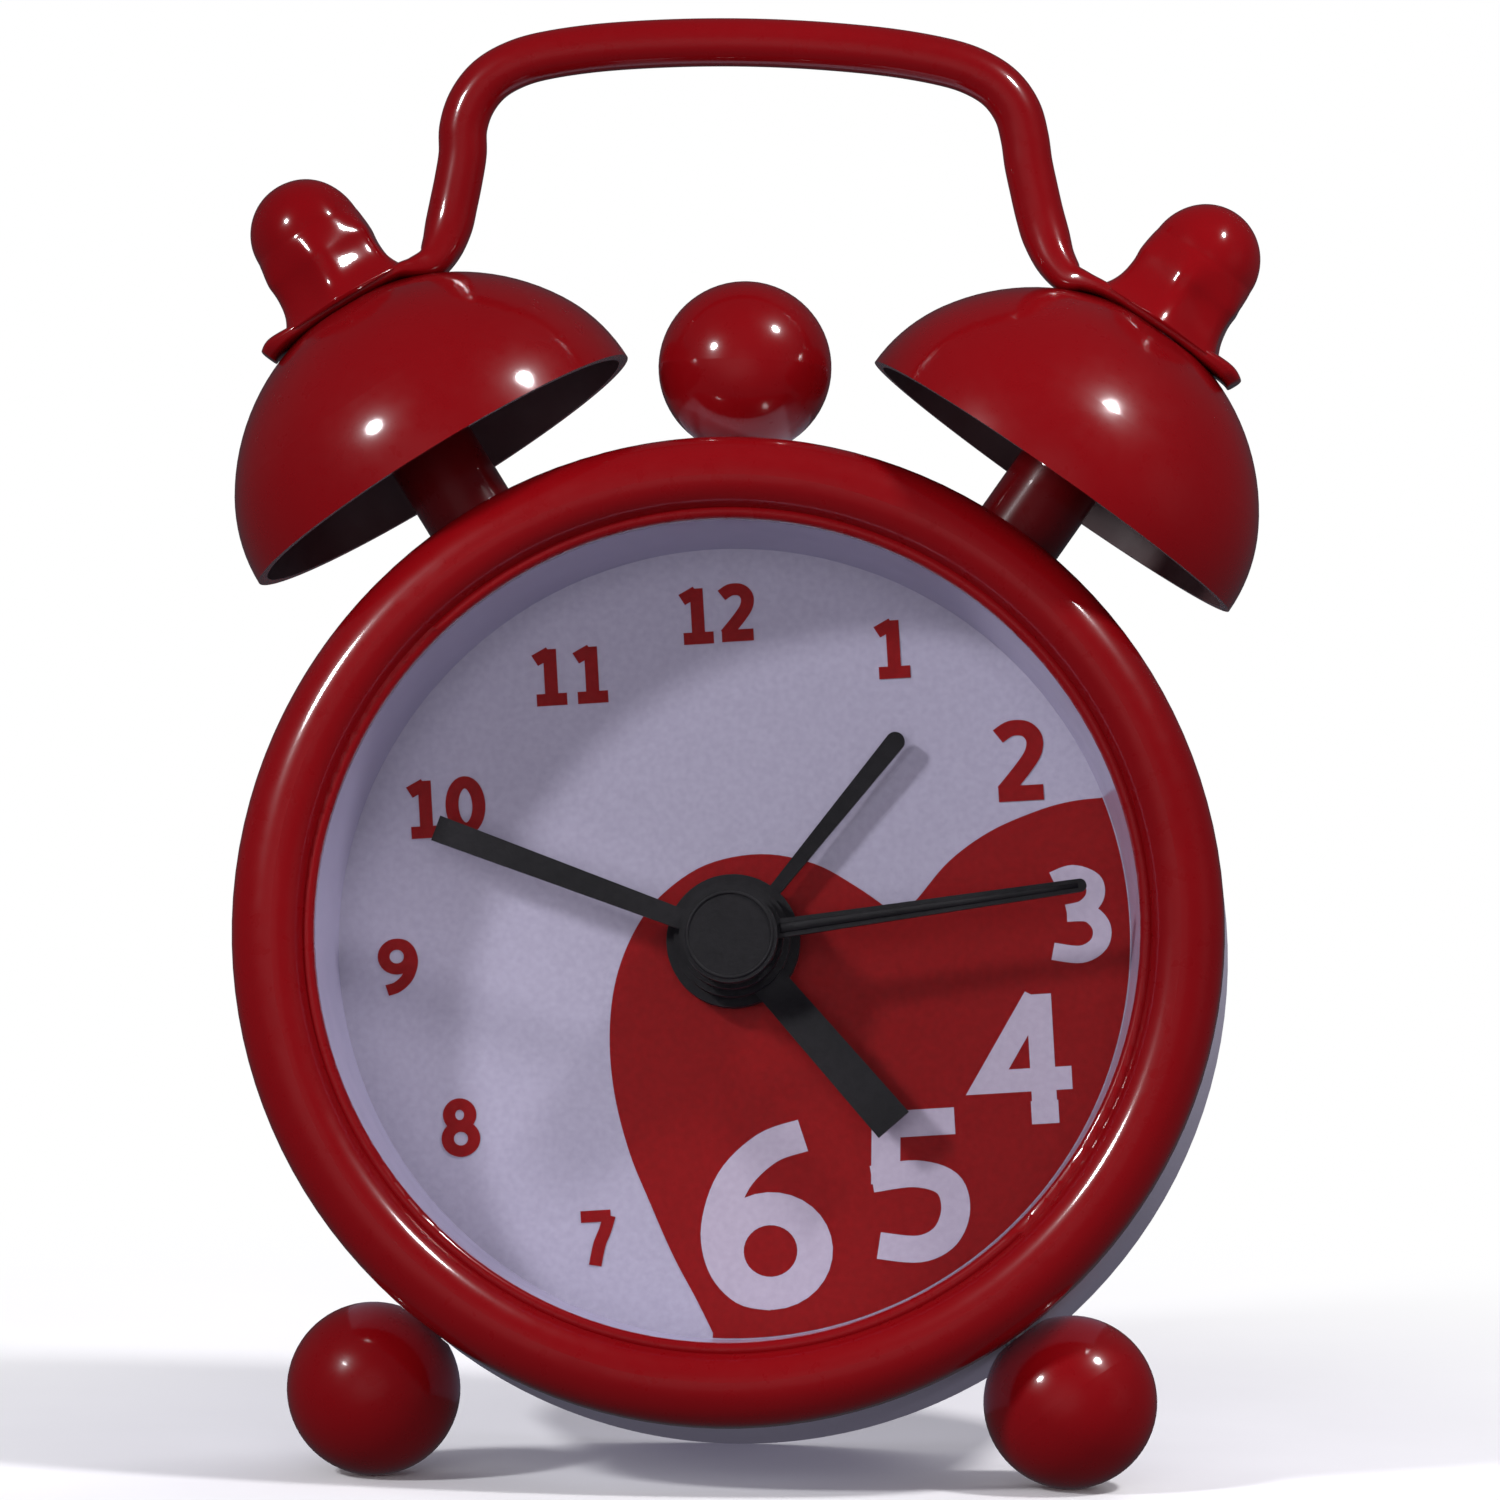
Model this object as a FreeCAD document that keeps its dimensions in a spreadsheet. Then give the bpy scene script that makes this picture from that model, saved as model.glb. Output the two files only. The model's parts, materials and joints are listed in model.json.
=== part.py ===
import FreeCAD, Part

# Small twin-bell alarm clock: a lacquered metal drum on two ball feet, with bells, posts, acorn nuts and a wire
# handle on top, and a geared quartz movement inside.
#
# Case frame, in which every piece is drawn: X to the right and Y up as the dial is read, Z forward out of the
# dial, with the drum's rear edge at Z = 0 and its axis at X = Y = 0. The finished pieces are then stood on the
# table together: the front faces -Y, the clock leans back on its two ball feet and the drum's rear edge, and the
# origin is the centre of the footprint's box on the table. Sizes are in millimetres and degrees.

import math
import os

import Sketcher

SIZES = {
    # case
    "case_depth": 24.5, "case_radius": 28.2, "case_wall": 0.6, "case_edge_radius": 0.5, "case_lip_radius": 26.3,
    "bezel_radius": 28.5, "bezel_opening": 23.7, "bezel_skirt": 4.0, "bezel_roll": 2.4, "bezel_inner_roll": 1.9,
    "bezel_bead": 0.4, "bezel_bead_radius": 24.1, "bezel_bead_height": 22.85, "bezel_lip_height": 22.0,
    "bezel_bore": 25.2, "bezel_spigot_radius": 27.5, "bezel_spigot": 1.0,
    "lens_radius": 25.1, "lens_thickness": 1.0, "dial_height": 13.2, "dial_thickness": 0.4, "dial_radius": 25.0,
    "slope_front_radius": 24.0, "slope_dial_radius": 22.9, "dial_hole": 3.0,
    "cover_radius": 27.4, "cover_land_radius": 26.1, "cover_back": 0.2, "cover_step": 0.7, "cover_front": 1.9,
    # bells, posts, nuts
    "bell_tilt_left": -32.8, "bell_tilt_right": 33.9, "fitting_height": 15.8,
    "bell_rim_distance": 32.0, "bell_rim_radius": 12.5,
    "bell_dome": 11.2, "bell_side_offset": 3.0, "bell_wall": 0.6, "bell_seat": 3.6,
    "post_radius": 2.65, "bolt_radius": 2.0, "bolt_clearance": 0.08, "bolt_end": 49.0, "bolt_head_radius": 3.2,
    "bolt_head_top": 27.3, "bolt_head_height": 1.9,
    "nut_across_flats": 7.0, "nut_hex": 3.4, "nut_length": 7.6, "nut_dome_radius": 3.25, "nut_bore_depth": 6.0,
    # handle
    "wire_radius": 1.4, "tab_thickness": 0.8, "tab_length": 5.8, "tab_inner_length": 6.6, "tab_half_width": 2.7,
    "handle_foot_x": 19.73, "handle_foot_y": 39.35, "handle_knee_x": 17.35, "handle_knee_y": 40.6,
    "handle_shoulder_x": 15.15, "handle_shoulder_y": 50.85, "handle_crown_y": 52.65, "handle_sway": -0.4,
    "knee_bend": 3.2, "shoulder_bend": 5.2, "crown_bend": 90.0,
    # balls
    "ball_radius": 5.0, "ball_distance": 33.1, "foot_angle": 37.3, "ball_fitting_height": 16.3,
    "ball_screw_radius": 1.25, "ball_screw_head": 2.0, "ball_screw_head_height": 1.2, "ball_screw_length": 6.0,
    "ball_screw_seat": 27.4,
    # hands
    "blade": 0.45, "second_hub": 2.75, "minute_hub": 3.0, "hour_hub": 3.35, "alarm_hub": 3.85,
    "second_length": 20.7, "minute_length": 18.2, "hour_length": 14.2, "alarm_length": 15.4,
    "second_root": 1.1, "second_tip": 0.75, "minute_root": 1.15, "minute_tip": 1.5,
    "hour_root": 2.05, "hour_tip": 2.3, "alarm_root": 0.7, "alarm_tip": 1.1,
    "alarm_level": 14.0, "hour_level": 15.4, "minute_level": 16.8, "second_level": 18.2, "hub_height": 1.2,
    "second_angle": 80.7, "minute_angle": 289.3, "hour_angle": 137.8, "alarm_angle": 37.7,
    # arbor stack on the case axis
    "running_gap": 0.05, "second_arbor": 0.4, "minute_tube": 0.9, "hour_tube": 1.5, "alarm_tube": 2.1,
    "second_arbor_end": 19.0,
    # movement case
    "movement_radius": 25.0, "movement_wall": 0.9, "floor_back": 3.0, "floor_front": 3.8, "plate_back": 11.6,
    "plate_front": 12.8, "boss_radius": 1.7, "boss_distance": 22.0, "screw_radius": 0.65, "screw_hole": 0.7,
    "screw_head": 1.4, "screw_length": 4.6,
    # gear train: numbers of teeth, modules and distances between arbors
    "rotor_teeth": 8, "intermediate_teeth": 40, "rotor_module": 0.17,
    "intermediate_pinion": 10, "second_teeth": 60, "second_module": 0.2,
    "second_pinion": 8, "third_teeth": 60, "third_module": 0.2,
    "third_pinion": 8, "centre_teeth": 64, "centre_module": 0.188889,
    "cannon_teeth": 12, "minute_teeth": 36, "minute_module": 0.308333,
    "minute_pinion": 10, "hour_teeth": 40, "hour_module": 0.296,
    "setting_teeth": 12, "alarm_teeth": 36, "alarm_module": 0.308333,
    "intermediate_y": -7.0, "rotor_y": -11.08, "third_y": 6.8, "minute_x": 7.4, "setting_x": -7.4,
    "fine_arbor": 0.3, "setting_arbor": 0.75, "tooth_tip": 0.9, "tooth_root": 1.2,
    # heights of the wheels and pinions above the drum's rear edge
    "wheel_thickness": 0.5, "pivot_back": 3.45, "pivot_front": 12.1, "pivot_depth": 0.4,
    "rotor_pinion_back": 4.9, "rotor_pinion_front": 5.8, "magnet_back": 6.1, "magnet_front": 7.9,
    "intermediate_pinion_back": 4.0, "intermediate_back": 5.1, "second_back": 4.2, "second_pinion_front": 5.7,
    "third_back": 5.1, "third_pinion_front": 6.9, "centre_back": 6.2, "cannon_back": 6.0,
    "cannon_pinion_back": 6.9, "cannon_pinion_front": 7.8, "minute_back": 7.1, "minute_pinion_front": 9.0,
    "hour_back": 8.1, "alarm_back": 9.1, "setting_back": 8.9, "setting_front": 9.8,
    # motor
    "magnet_radius": 1.8, "stator_hole": 2.1, "stator_back": 6.6, "stator_front": 7.4, "core_back": 5.8,
    "coil_y": -18.6, "coil_radius": 2.2, "coil_tube": 1.15, "coil_half_length": 5.4, "coil_flange": 0.5,
    "coil_height": 6.2, "ear_x": 8.0, "ear_screw": 0.5,
    # electrics
    "cell_radius": 5.8, "cell_x": -13.0, "cell_y": 12.0, "cell_back": 3.1, "cell_front": 8.5, "well_wall": 0.65,
    "board_back": 8.0, "board_front": 8.8, "buzzer_x": 13.5, "buzzer_y": 9.5, "buzzer_radius": 6.0,
    "door_radius": 6.5, "door_hole": 6.65, "door_lug_radius": 7.6, "switch_y": 16.5, "switch_travel": 2.5,
    "knob_radius": 3.6, "knob_back": -2.2, "knob_front": 0.0, "knob_cap": 0.8, "knob_flutes": 20,
    "flute_radius": 0.45, "flute_offset": 0.15,
    # cover and door details
    "arbor_hole_gap": 0.15, "door_notch": 1.35, "door_notch_gap": 0.15, "switch_slot_end": 1.35,
    "switch_slot_half": 1.1, "screw_clearance": 0.1, "screw_sink": 0.9, "sink_gap": 0.15,
    "sound_pitch": 2.4, "sound_half_length": 3.2, "sound_half_width": 0.5,
    "door_lug_gap": 0.1, "door_lug_thickness": 0.8, "door_lug_half": 1.1, "coin_half_length": 4.6,
    "coin_half_width": 0.75, "coin_depth": 0.9,
    # fits and small fixings
    "press_fit": 0.02, "end_room": 0.3, "ball_flat": 1.8, "blade_lift": 0.3, "rotor_collar": 0.45,
    "screw_head_height": 0.55, "screw_slot_floor": 0.3, "screw_slot_half": 0.15, "screw_slot_reach": 1.12,
    "ear_screw_end": 4.2, "ear_screw_head": 1.0, "ear_screw_head_height": 0.5,
    # movement case details
    "well_gap": 0.15, "well_front": 8.1, "window_left": 4.6, "window_right": 2.6, "window_bottom": 6.7,
    "window_top": 3.0, "blind_floor": 0.2, "post_step_radius": 0.9, "post_pin_radius": 0.45, "post_pin_rise": 0.3,
    "upper_post_x": -17.6, "upper_post_y": 1.0, "lower_post_x": -11.6, "lower_post_y": -8.0,
    "rest_radius": 1.2, "sound_hole": 2.5, "plate_sink": 0.7, "plate_sink_gap": 0.1, "end_shake": 0.1,
    # stator and bobbin outlines
    "ear_end": 9.6, "stator_below": 1.0, "stator_leg_x": 6.3, "stator_leg_y": -16.2, "stator_waist_x": 4.3,
    "stator_waist_y": -11.0, "stator_top_x": 3.3, "stator_top_y": -8.1, "stator_arch_x": 3.0,
    "stator_arch_y": -13.9, "core_half": 0.8, "flange_rise": 0.15, "bobbin_slot_across": 0.45,
    "bobbin_slot_up": 0.85,
    # board, crystal, chip, cell and contacts
    "board_left": -18.6, "board_bottom": -9.0, "board_right": -10.6, "board_top": 2.0,
    "crystal_radius": 1.0, "crystal_half_length": 3.0, "crystal_x": -12.2, "crystal_y": -3.4,
    "chip_height": 1.1, "chip_left": -17.6, "chip_bottom": -6.0, "chip_right": -14.4, "chip_top": -2.4,
    "cell_crimp_back": 0.6, "cell_crimp_front": 0.3, "cell_crimp_in": 0.5, "cell_cap_in": 0.9,
    "leaf_thickness": 0.2, "leaf_half_width": 1.2, "leaf_dimple": 0.8, "plus_left": 4.0, "plus_right": 2.8,
    "plus_bottom": -1.2, "plus_spring_front": 5.1, "plus_spring_back": 5.3, "plus_spring_base": 0.6,
    "alarm_leaf_left": -11.5, "alarm_leaf_foot": -11.0, "alarm_leaf_right": -3.2, "alarm_leaf_bottom": -5.4,
    "alarm_leaf_top": -4.4, "alarm_leaf_rise": 1.0, "alarm_leaf_thickness": 0.15,
    # buzzer and switch
    "buzzer_height": 2.4, "buzzer_hole": 1.0, "buzzer_hole_depth": 1.0,
    "grip_height": 0.9, "grip_front": 0.3, "grip_half_width": 1.2, "grip_half_length": 1.0,
    "slider_back": 0.1, "slider_front": 0.8, "slider_half": 1.8,
}

OVERCUT = 0.1           # how far a cut starts before, and ends after, what it cuts
TAB_HOLE_REACH = 1.0    # the holes in the handle's tabs also clear the wire above and below the tab
DOOR_TURN = 60          # the door's lugs stand this far past their notches, in degrees
BEAD_ACROSS = 0.6428    # the roll meets the bezel's bead 50 degrees above level: cosine
BEAD_UP = 0.766         # and sine
HEX_FLAT_TO_CORNER = 1.1547
SINE_120, COSINE_120 = 0.866025, -0.5
HUB_OVERLAP = 0.8       # a blade starts at this share of its hub's radius
TIP_ROUND = 1.0001      # a round tip's radius, in half tip widths
# the gap between two teeth, in modules: half its width at the floor and at the mouth, for few teeth and for many
FEW_TEETH = 15
GAP_FLOOR_FEW, GAP_FLOOR_MANY = 0.55, 0.72
GAP_MOUTH_FEW, GAP_MOUTH_MANY = 1.62, 1.36
GAP_REACH = 0.2
TOOTH_OVERCUT = 0.05

document = FreeCAD.newDocument("alarm_clock")
sheet = document.addObject("Spreadsheet::Sheet", "Sizes")
for row, (alias, number) in enumerate(SIZES.items(), start=1):
    sheet.set(f"A{row}", alias)
    sheet.set(f"B{row}", str(number))
    sheet.setAlias(f"B{row}", alias)
document.recompute()


class Size:
    """A number together with the sheet formula that drives it."""

    def __init__(self, value, formula=None):
        self.value = float(value)
        self.formula = formula or f"{self.value:.6f}"

    def __add__(self, other):
        other = as_size(other)
        return Size(self.value + other.value, f"({self.formula} + {other.formula})")

    def __radd__(self, other):
        return as_size(other) + self

    def __sub__(self, other):
        other = as_size(other)
        return Size(self.value - other.value, f"({self.formula} - {other.formula})")

    def __rsub__(self, other):
        return as_size(other) - self

    def __mul__(self, other):
        other = as_size(other)
        return Size(self.value * other.value, f"({self.formula} * {other.formula})")

    __rmul__ = __mul__

    def __truediv__(self, other):
        other = as_size(other)
        return Size(self.value / other.value, f"({self.formula} / {other.formula})")

    def __neg__(self):
        return Size(-self.value, f"(-1 * {self.formula})")


def as_size(item):
    return item if isinstance(item, Size) else Size(item)


def root(item):
    return Size(math.sqrt(item.value), f"sqrt({item.formula})")


class Sheet:
    """Every alias of the sheet as a Size."""

    def __getattr__(self, alias):
        return Size(sheet.get(alias), f"Sizes.{alias}")


S = Sheet()
ZERO = Size(0)
PIECES = {}


# ---------------------------------------------------------------- drawing helpers

def vector(x, y, z=0.0):
    return FreeCAD.Vector(as_size(x).value, as_size(y).value, as_size(z).value)


def place(x=0.0, y=0.0, z=0.0, turn=0.0):
    """A place in the case frame, turned clockwise about Z as the dial is read."""
    return FreeCAD.Placement(vector(x, y, z), FreeCAD.Rotation(FreeCAD.Vector(0, 0, 1), -as_size(turn).value))


def radial(angle, height):
    """A frame on the drum whose own Z points outward, at a clockwise angle from 12 o'clock."""
    outward = FreeCAD.Rotation(FreeCAD.Vector(1, 0, 0), -90)
    around = FreeCAD.Rotation(FreeCAD.Vector(0, 0, 1), -as_size(angle).value)
    return FreeCAD.Placement(vector(0, 0, height), around.multiply(outward))


def new_body(label):
    body = document.addObject("PartDesign::Body", label)
    body.Label = label
    return body


def new_sketch(body, role, base=ZERO, turn=0.0, at=(ZERO, ZERO)):
    """A sketch on one of the body's own planes, raised along the plane's normal and turned in it."""
    plane = next(item for item in body.Origin.OriginFeatures if item.Role == role)
    sketch = body.newObject("Sketcher::SketchObject", f"{body.Label}_sketch")
    sketch.AttachmentSupport = [(plane, "")]
    sketch.MapMode = "FlatFace"
    offset = FreeCAD.Rotation(FreeCAD.Vector(0, 0, 1), as_size(turn).value)
    sketch.AttachmentOffset = FreeCAD.Placement(vector(at[0], at[1], base), offset)
    sketch.setExpression("AttachmentOffset.Base.x", as_size(at[0]).formula)
    sketch.setExpression("AttachmentOffset.Base.y", as_size(at[1]).formula)
    sketch.setExpression("AttachmentOffset.Base.z", as_size(base).formula)
    return sketch


def free_sketch(body, where):
    """A sketch at any place, for features that stand askew to the body's planes."""
    sketch = body.newObject("Sketcher::SketchObject", f"{body.Label}_sketch")
    sketch.Placement = where
    return sketch


def bind(sketch, kind, numbers, target):
    """A dimension of the sketch, driven by the sheet."""
    index = sketch.addConstraint(Sketcher.Constraint(kind, *numbers, target.value))
    sketch.setExpression(f"Constraints[{index}]", target.formula)


def pin_point(sketch, edge, end, across, up):
    """Fix one end of a sketch edge at a place driven by the sheet."""
    for kind, target, axis in (("DistanceX", as_size(across), -2), ("DistanceY", as_size(up), -1)):
        if abs(target.value) < 1e-9:
            sketch.addConstraint(Sketcher.Constraint("PointOnObject", edge, end, axis))
        else:
            bind(sketch, kind, (-1, 1, edge, end), target)


def arc_between(start, end, radius):
    """The short arc from start to end: a positive radius turns left on the way, a negative one right."""
    chord = end - start
    rise = math.sqrt(radius ** 2 - (chord.Length / 2) ** 2)
    left = FreeCAD.Vector(-chord.y, chord.x, 0).normalize()
    centre = start + chord * 0.5 + left * (rise if radius > 0 else -rise)
    first, last = (start, end) if radius > 0 else (end, start)
    angles = [math.atan2(point.y - centre.y, point.x - centre.x) for point in (first, last)]
    circle = Part.Circle(centre, FreeCAD.Vector(0, 0, 1), abs(radius))
    return Part.ArcOfCircle(circle, angles[0], angles[1])


def draw_outline(sketch, corners):
    """Add a closed outline; a corner's third item is the radius of the arc that leads on to the next corner."""
    first_edge = sketch.GeometryCount
    points = [vector(corner[0], corner[1]) for corner in corners]
    ends = []
    for number, corner in enumerate(corners):
        start = points[number]
        end = points[(number + 1) % len(corners)]
        edge = first_edge + number
        if len(corner) == 3:
            radius = as_size(corner[2])
            sketch.addGeometry(arc_between(start, end, radius.value), False)
            bind(sketch, "Radius", (edge,), Size(abs(radius.value), f"abs({radius.formula})"))
            ends.append((1, 2) if radius.value > 0 else (2, 1))
        else:
            sketch.addGeometry(Part.LineSegment(start, end), False)
            ends.append((1, 2))
    for number, corner in enumerate(corners):
        edge = first_edge + number
        following = (number + 1) % len(corners)
        joint = (edge, ends[number][1], first_edge + following, ends[following][0])
        sketch.addConstraint(Sketcher.Constraint("Coincident", *joint))
        pin_point(sketch, edge, ends[number][0], corner[0], corner[1])


def draw_circle(sketch, radius, x=ZERO, y=ZERO):
    edge = sketch.GeometryCount
    circle = Part.Circle(vector(x, y), FreeCAD.Vector(0, 0, 1), as_size(radius).value)
    sketch.addGeometry(circle, False)
    pin_point(sketch, edge, 3, x, y)
    bind(sketch, "Radius", (edge,), as_size(radius))


def box_corners(left, bottom, right, top):
    return [(left, bottom), (right, bottom), (right, top), (left, top)]


def set_length(feature, length):
    length = as_size(length)
    feature.Length = length.value
    feature.setExpression("Length", length.formula)


def pad(body, sketch, height):
    """Raise the sketch forward (along +Z) by height."""
    feature = body.newObject("PartDesign::Pad", f"{body.Label}_pad")
    feature.Profile = sketch
    set_length(feature, height)
    document.recompute()
    return feature


def cut(body, sketch, height):
    """Cut forward (along +Z) from the sketch, and make sure that something was cut."""
    before = body.Shape.Volume
    feature = body.newObject("PartDesign::Pocket", f"{body.Label}_cut")
    feature.Profile = sketch
    feature.Reversed = True
    set_length(feature, height)
    document.recompute()
    if body.Shape.Volume > before - 1e-6:
        raise RuntimeError(f"{body.Label}: a cut removed nothing")
    return feature


def turn_profile(body, corners):
    """Turn an outline of (radius, height) corners about the body's own Z."""
    sketch = new_sketch(body, "XZ_Plane")
    draw_outline(sketch, corners)
    feature = body.newObject("PartDesign::Revolution", f"{body.Label}_turn")
    feature.Profile = sketch
    feature.ReferenceAxis = (sketch, ["V_Axis"])
    feature.Angle = 360
    document.recompute()
    return feature


def pad_circles(body, base, top, circles):
    sketch = new_sketch(body, "XY_Plane", base)
    for circle in circles:
        draw_circle(sketch, *circle)
    return pad(body, sketch, as_size(top) - base)


def cut_circles(body, base, top, circles):
    sketch = new_sketch(body, "XY_Plane", base)
    for circle in circles:
        draw_circle(sketch, *circle)
    return cut(body, sketch, as_size(top) - base)


def pad_outline(body, base, top, corners):
    sketch = new_sketch(body, "XY_Plane", base)
    draw_outline(sketch, corners)
    return pad(body, sketch, as_size(top) - base)


def cut_outline(body, base, top, corners):
    sketch = new_sketch(body, "XY_Plane", base)
    draw_outline(sketch, corners)
    return cut(body, sketch, as_size(top) - base)


def repeat_round(body, feature, sketch, count):
    """Repeat a feature evenly round the body's own Z."""
    pattern = body.newObject("PartDesign::PolarPattern", f"{body.Label}_pattern")
    pattern.Originals = [feature]
    pattern.Axis = (sketch, ["N_Axis"])
    pattern.Angle = 360
    pattern.Occurrences = int(as_size(count).value)
    pattern.setExpression("Occurrences", as_size(count).formula)
    body.Tip = pattern
    document.recompute()


def keep(piece, where=None):
    """Register a finished piece with its place in the case frame."""
    PIECES[piece.Label] = (piece, where or place())


def keep_group(label, body, places):
    """One node for identical fasteners: linked copies of one body, each in its own place."""
    copies = []
    for number, where in enumerate(places):
        copy = document.addObject("App::Link", f"{label}_copy_{number}")
        copy.LinkedObject = body
        copy.LinkPlacement = where
        copies.append(copy)
    group = document.addObject("Part::Compound", label)
    group.Label = label
    group.Links = copies
    document.recompute()
    keep(group)


# ---------------------------------------------------------------- case

def make_bezel_ring():
    """Front ring: a rounded roll with a fine bead at the opening, a lens seat behind and a spigot for the drum."""
    body = new_body("bezel_ring")
    skirt = S.case_depth - S.bezel_skirt
    roll_centre = S.bezel_radius - S.bezel_roll
    bead_x = S.bezel_bead_radius + S.bezel_bead * BEAD_ACROSS
    bead_y = S.bezel_bead_height + S.bezel_bead * BEAD_UP
    turn_profile(body, [
        (S.bezel_radius, skirt),
        (S.bezel_radius, S.case_depth - S.bezel_roll, S.bezel_roll),
        (roll_centre, S.case_depth, S.bezel_inner_roll),
        (bead_x, bead_y, S.bezel_bead),
        (S.bezel_opening, S.bezel_bead_height),
        (S.bezel_opening, S.bezel_lip_height),
        (S.bezel_bore, S.bezel_lip_height),
        (S.bezel_bore, skirt - S.bezel_spigot),
        (S.bezel_spigot_radius, skirt - S.bezel_spigot),
        (S.bezel_spigot_radius, skirt),
    ])
    keep(body)


def make_case_sleeve():
    """Pressed drum with a rolled rear edge that holds the back cover, pierced for the bolts of bells and balls."""
    body = new_body("case_sleeve")
    front = S.case_depth - S.bezel_skirt
    inner = S.case_radius - S.case_wall
    turn_profile(body, [
        (S.case_radius, front),
        (inner, front),
        (inner, S.case_wall),
        (S.case_lip_radius, S.case_wall),
        (S.case_lip_radius, 0),
        (S.case_radius - S.case_edge_radius, 0, S.case_edge_radius),
        (S.case_radius, S.case_edge_radius),
    ])
    holes = [(angle, S.fitting_height, S.bolt_radius + S.bolt_clearance) for angle in bell_angles()]
    holes += [(angle, S.ball_fitting_height, S.ball_screw_radius + S.bolt_clearance) for angle in ball_angles()]
    for angle, height, radius in holes:
        cut_through_wall(body, angle, height, radius)
    keep(body)


def bell_angles():
    return [S.bell_tilt_left, S.bell_tilt_right]


def ball_angles():
    return [ZERO, 180 - S.foot_angle, 180 + S.foot_angle]


def cut_through_wall(body, angle, height, radius):
    """Radial hole through one side of the drum, cut outward from its axis."""
    sketch = free_sketch(body, radial(angle, height))
    draw_circle(sketch, radius)
    cut(body, sketch, S.case_radius + OVERCUT)


def make_lens():
    """Clear disc behind the bezel's lip."""
    body = new_body("lens")
    pad_circles(body, S.bezel_lip_height - S.lens_thickness, S.bezel_lip_height, [(S.lens_radius,)])
    keep(body)


def make_slope_ring():
    """Ring between lens and dial, whose inner wall narrows towards the dial."""
    body = new_body("slope_ring")
    front = S.bezel_lip_height - S.lens_thickness
    turn_profile(body, [
        (S.lens_radius, S.dial_height),
        (S.lens_radius, front),
        (S.slope_front_radius, front),
        (S.slope_dial_radius, S.dial_height),
    ])
    keep(body)


def make_dial():
    body = new_body("dial")
    pad_circles(body, S.dial_height - S.dial_thickness, S.dial_height, [(S.dial_radius,), (S.dial_hole,)])
    keep(body)


def make_back_cover():
    """Moulded cover: holes for both setting arbors, a slot for the switch, the battery door's opening with two
    bayonet notches, sunk screw holes and the buzzer's sound slots."""
    body = new_body("back_cover")
    turn_profile(body, [
        (0, S.cover_back), (S.cover_land_radius, S.cover_back), (S.cover_land_radius, S.cover_step),
        (S.cover_radius, S.cover_step), (S.cover_radius, S.cover_front), (0, S.cover_front),
    ])
    below = S.cover_back - OVERCUT
    above = S.cover_front + OVERCUT
    arbor_hole = S.setting_arbor + S.arbor_hole_gap
    cut_circles(body, below, above, [
        (arbor_hole, S.minute_x, ZERO), (arbor_hole, S.setting_x, ZERO), (S.door_hole, S.cell_x, S.cell_y)])
    lug_reach = S.door_lug_radius + S.door_notch_gap
    cut_outline(body, below, above, box_corners(
        S.cell_x - S.door_notch, S.cell_y - lug_reach, S.cell_x + S.door_notch, S.cell_y + lug_reach))
    half_slot = S.switch_travel / 2 + S.switch_slot_end
    cut_outline(body, below, above, box_corners(
        -half_slot, S.switch_y - S.switch_slot_half, half_slot, S.switch_y + S.switch_slot_half))
    for x, y in boss_places():
        cut_circles(body, below, above, [(S.screw_hole + S.screw_clearance, x, y)])
        cut_circles(body, below, S.cover_back + S.screw_sink, [(S.screw_head + S.sink_gap, x, y)])
    for step in (-1, 0, 1):
        middle = S.buzzer_y + S.sound_pitch * step
        cut_outline(body, below, above, box_corners(
            S.buzzer_x - S.sound_half_length, middle - S.sound_half_width,
            S.buzzer_x + S.sound_half_length, middle + S.sound_half_width))
    keep(body)


def make_battery_door():
    """Round coin-slot door: it turns a sixth of a turn until its two lugs meet the notches, then lifts out."""
    body = new_body("battery_door")
    lug_back = S.cover_front + S.door_lug_gap
    pad_circles(body, S.cover_back, lug_back, [(S.door_radius,)])
    sketch = new_sketch(body, "XY_Plane", lug_back, turn=DOOR_TURN)
    lug_end = S.door_lug_radius - S.door_lug_gap
    draw_outline(sketch, box_corners(-S.door_lug_half, -lug_end, S.door_lug_half, lug_end))
    pad(body, sketch, S.door_lug_thickness)
    cut_outline(body, S.cover_back - OVERCUT, S.cover_back + S.coin_depth, box_corners(
        -S.coin_half_length, -S.coin_half_width, S.coin_half_length, S.coin_half_width))
    keep(body, place(S.cell_x, S.cell_y))


# ---------------------------------------------------------------- bells, posts, nuts and handle

def dome(radius, height, offset):
    """Two tangent arcs from a rim at (radius, 0) to a crown at (0, height): side arc radius, crown arc radius and
    the point where they meet. The side arc is centred at (offset, 0)."""
    side = radius - offset
    gain = offset + height - radius
    drop = (offset * offset - gain * gain) / (2 * gain)
    crown = height + drop
    reach = root(offset * offset + drop * drop)
    meet = (offset + side * offset / reach, side * drop / reach)
    return side, crown, meet


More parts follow.
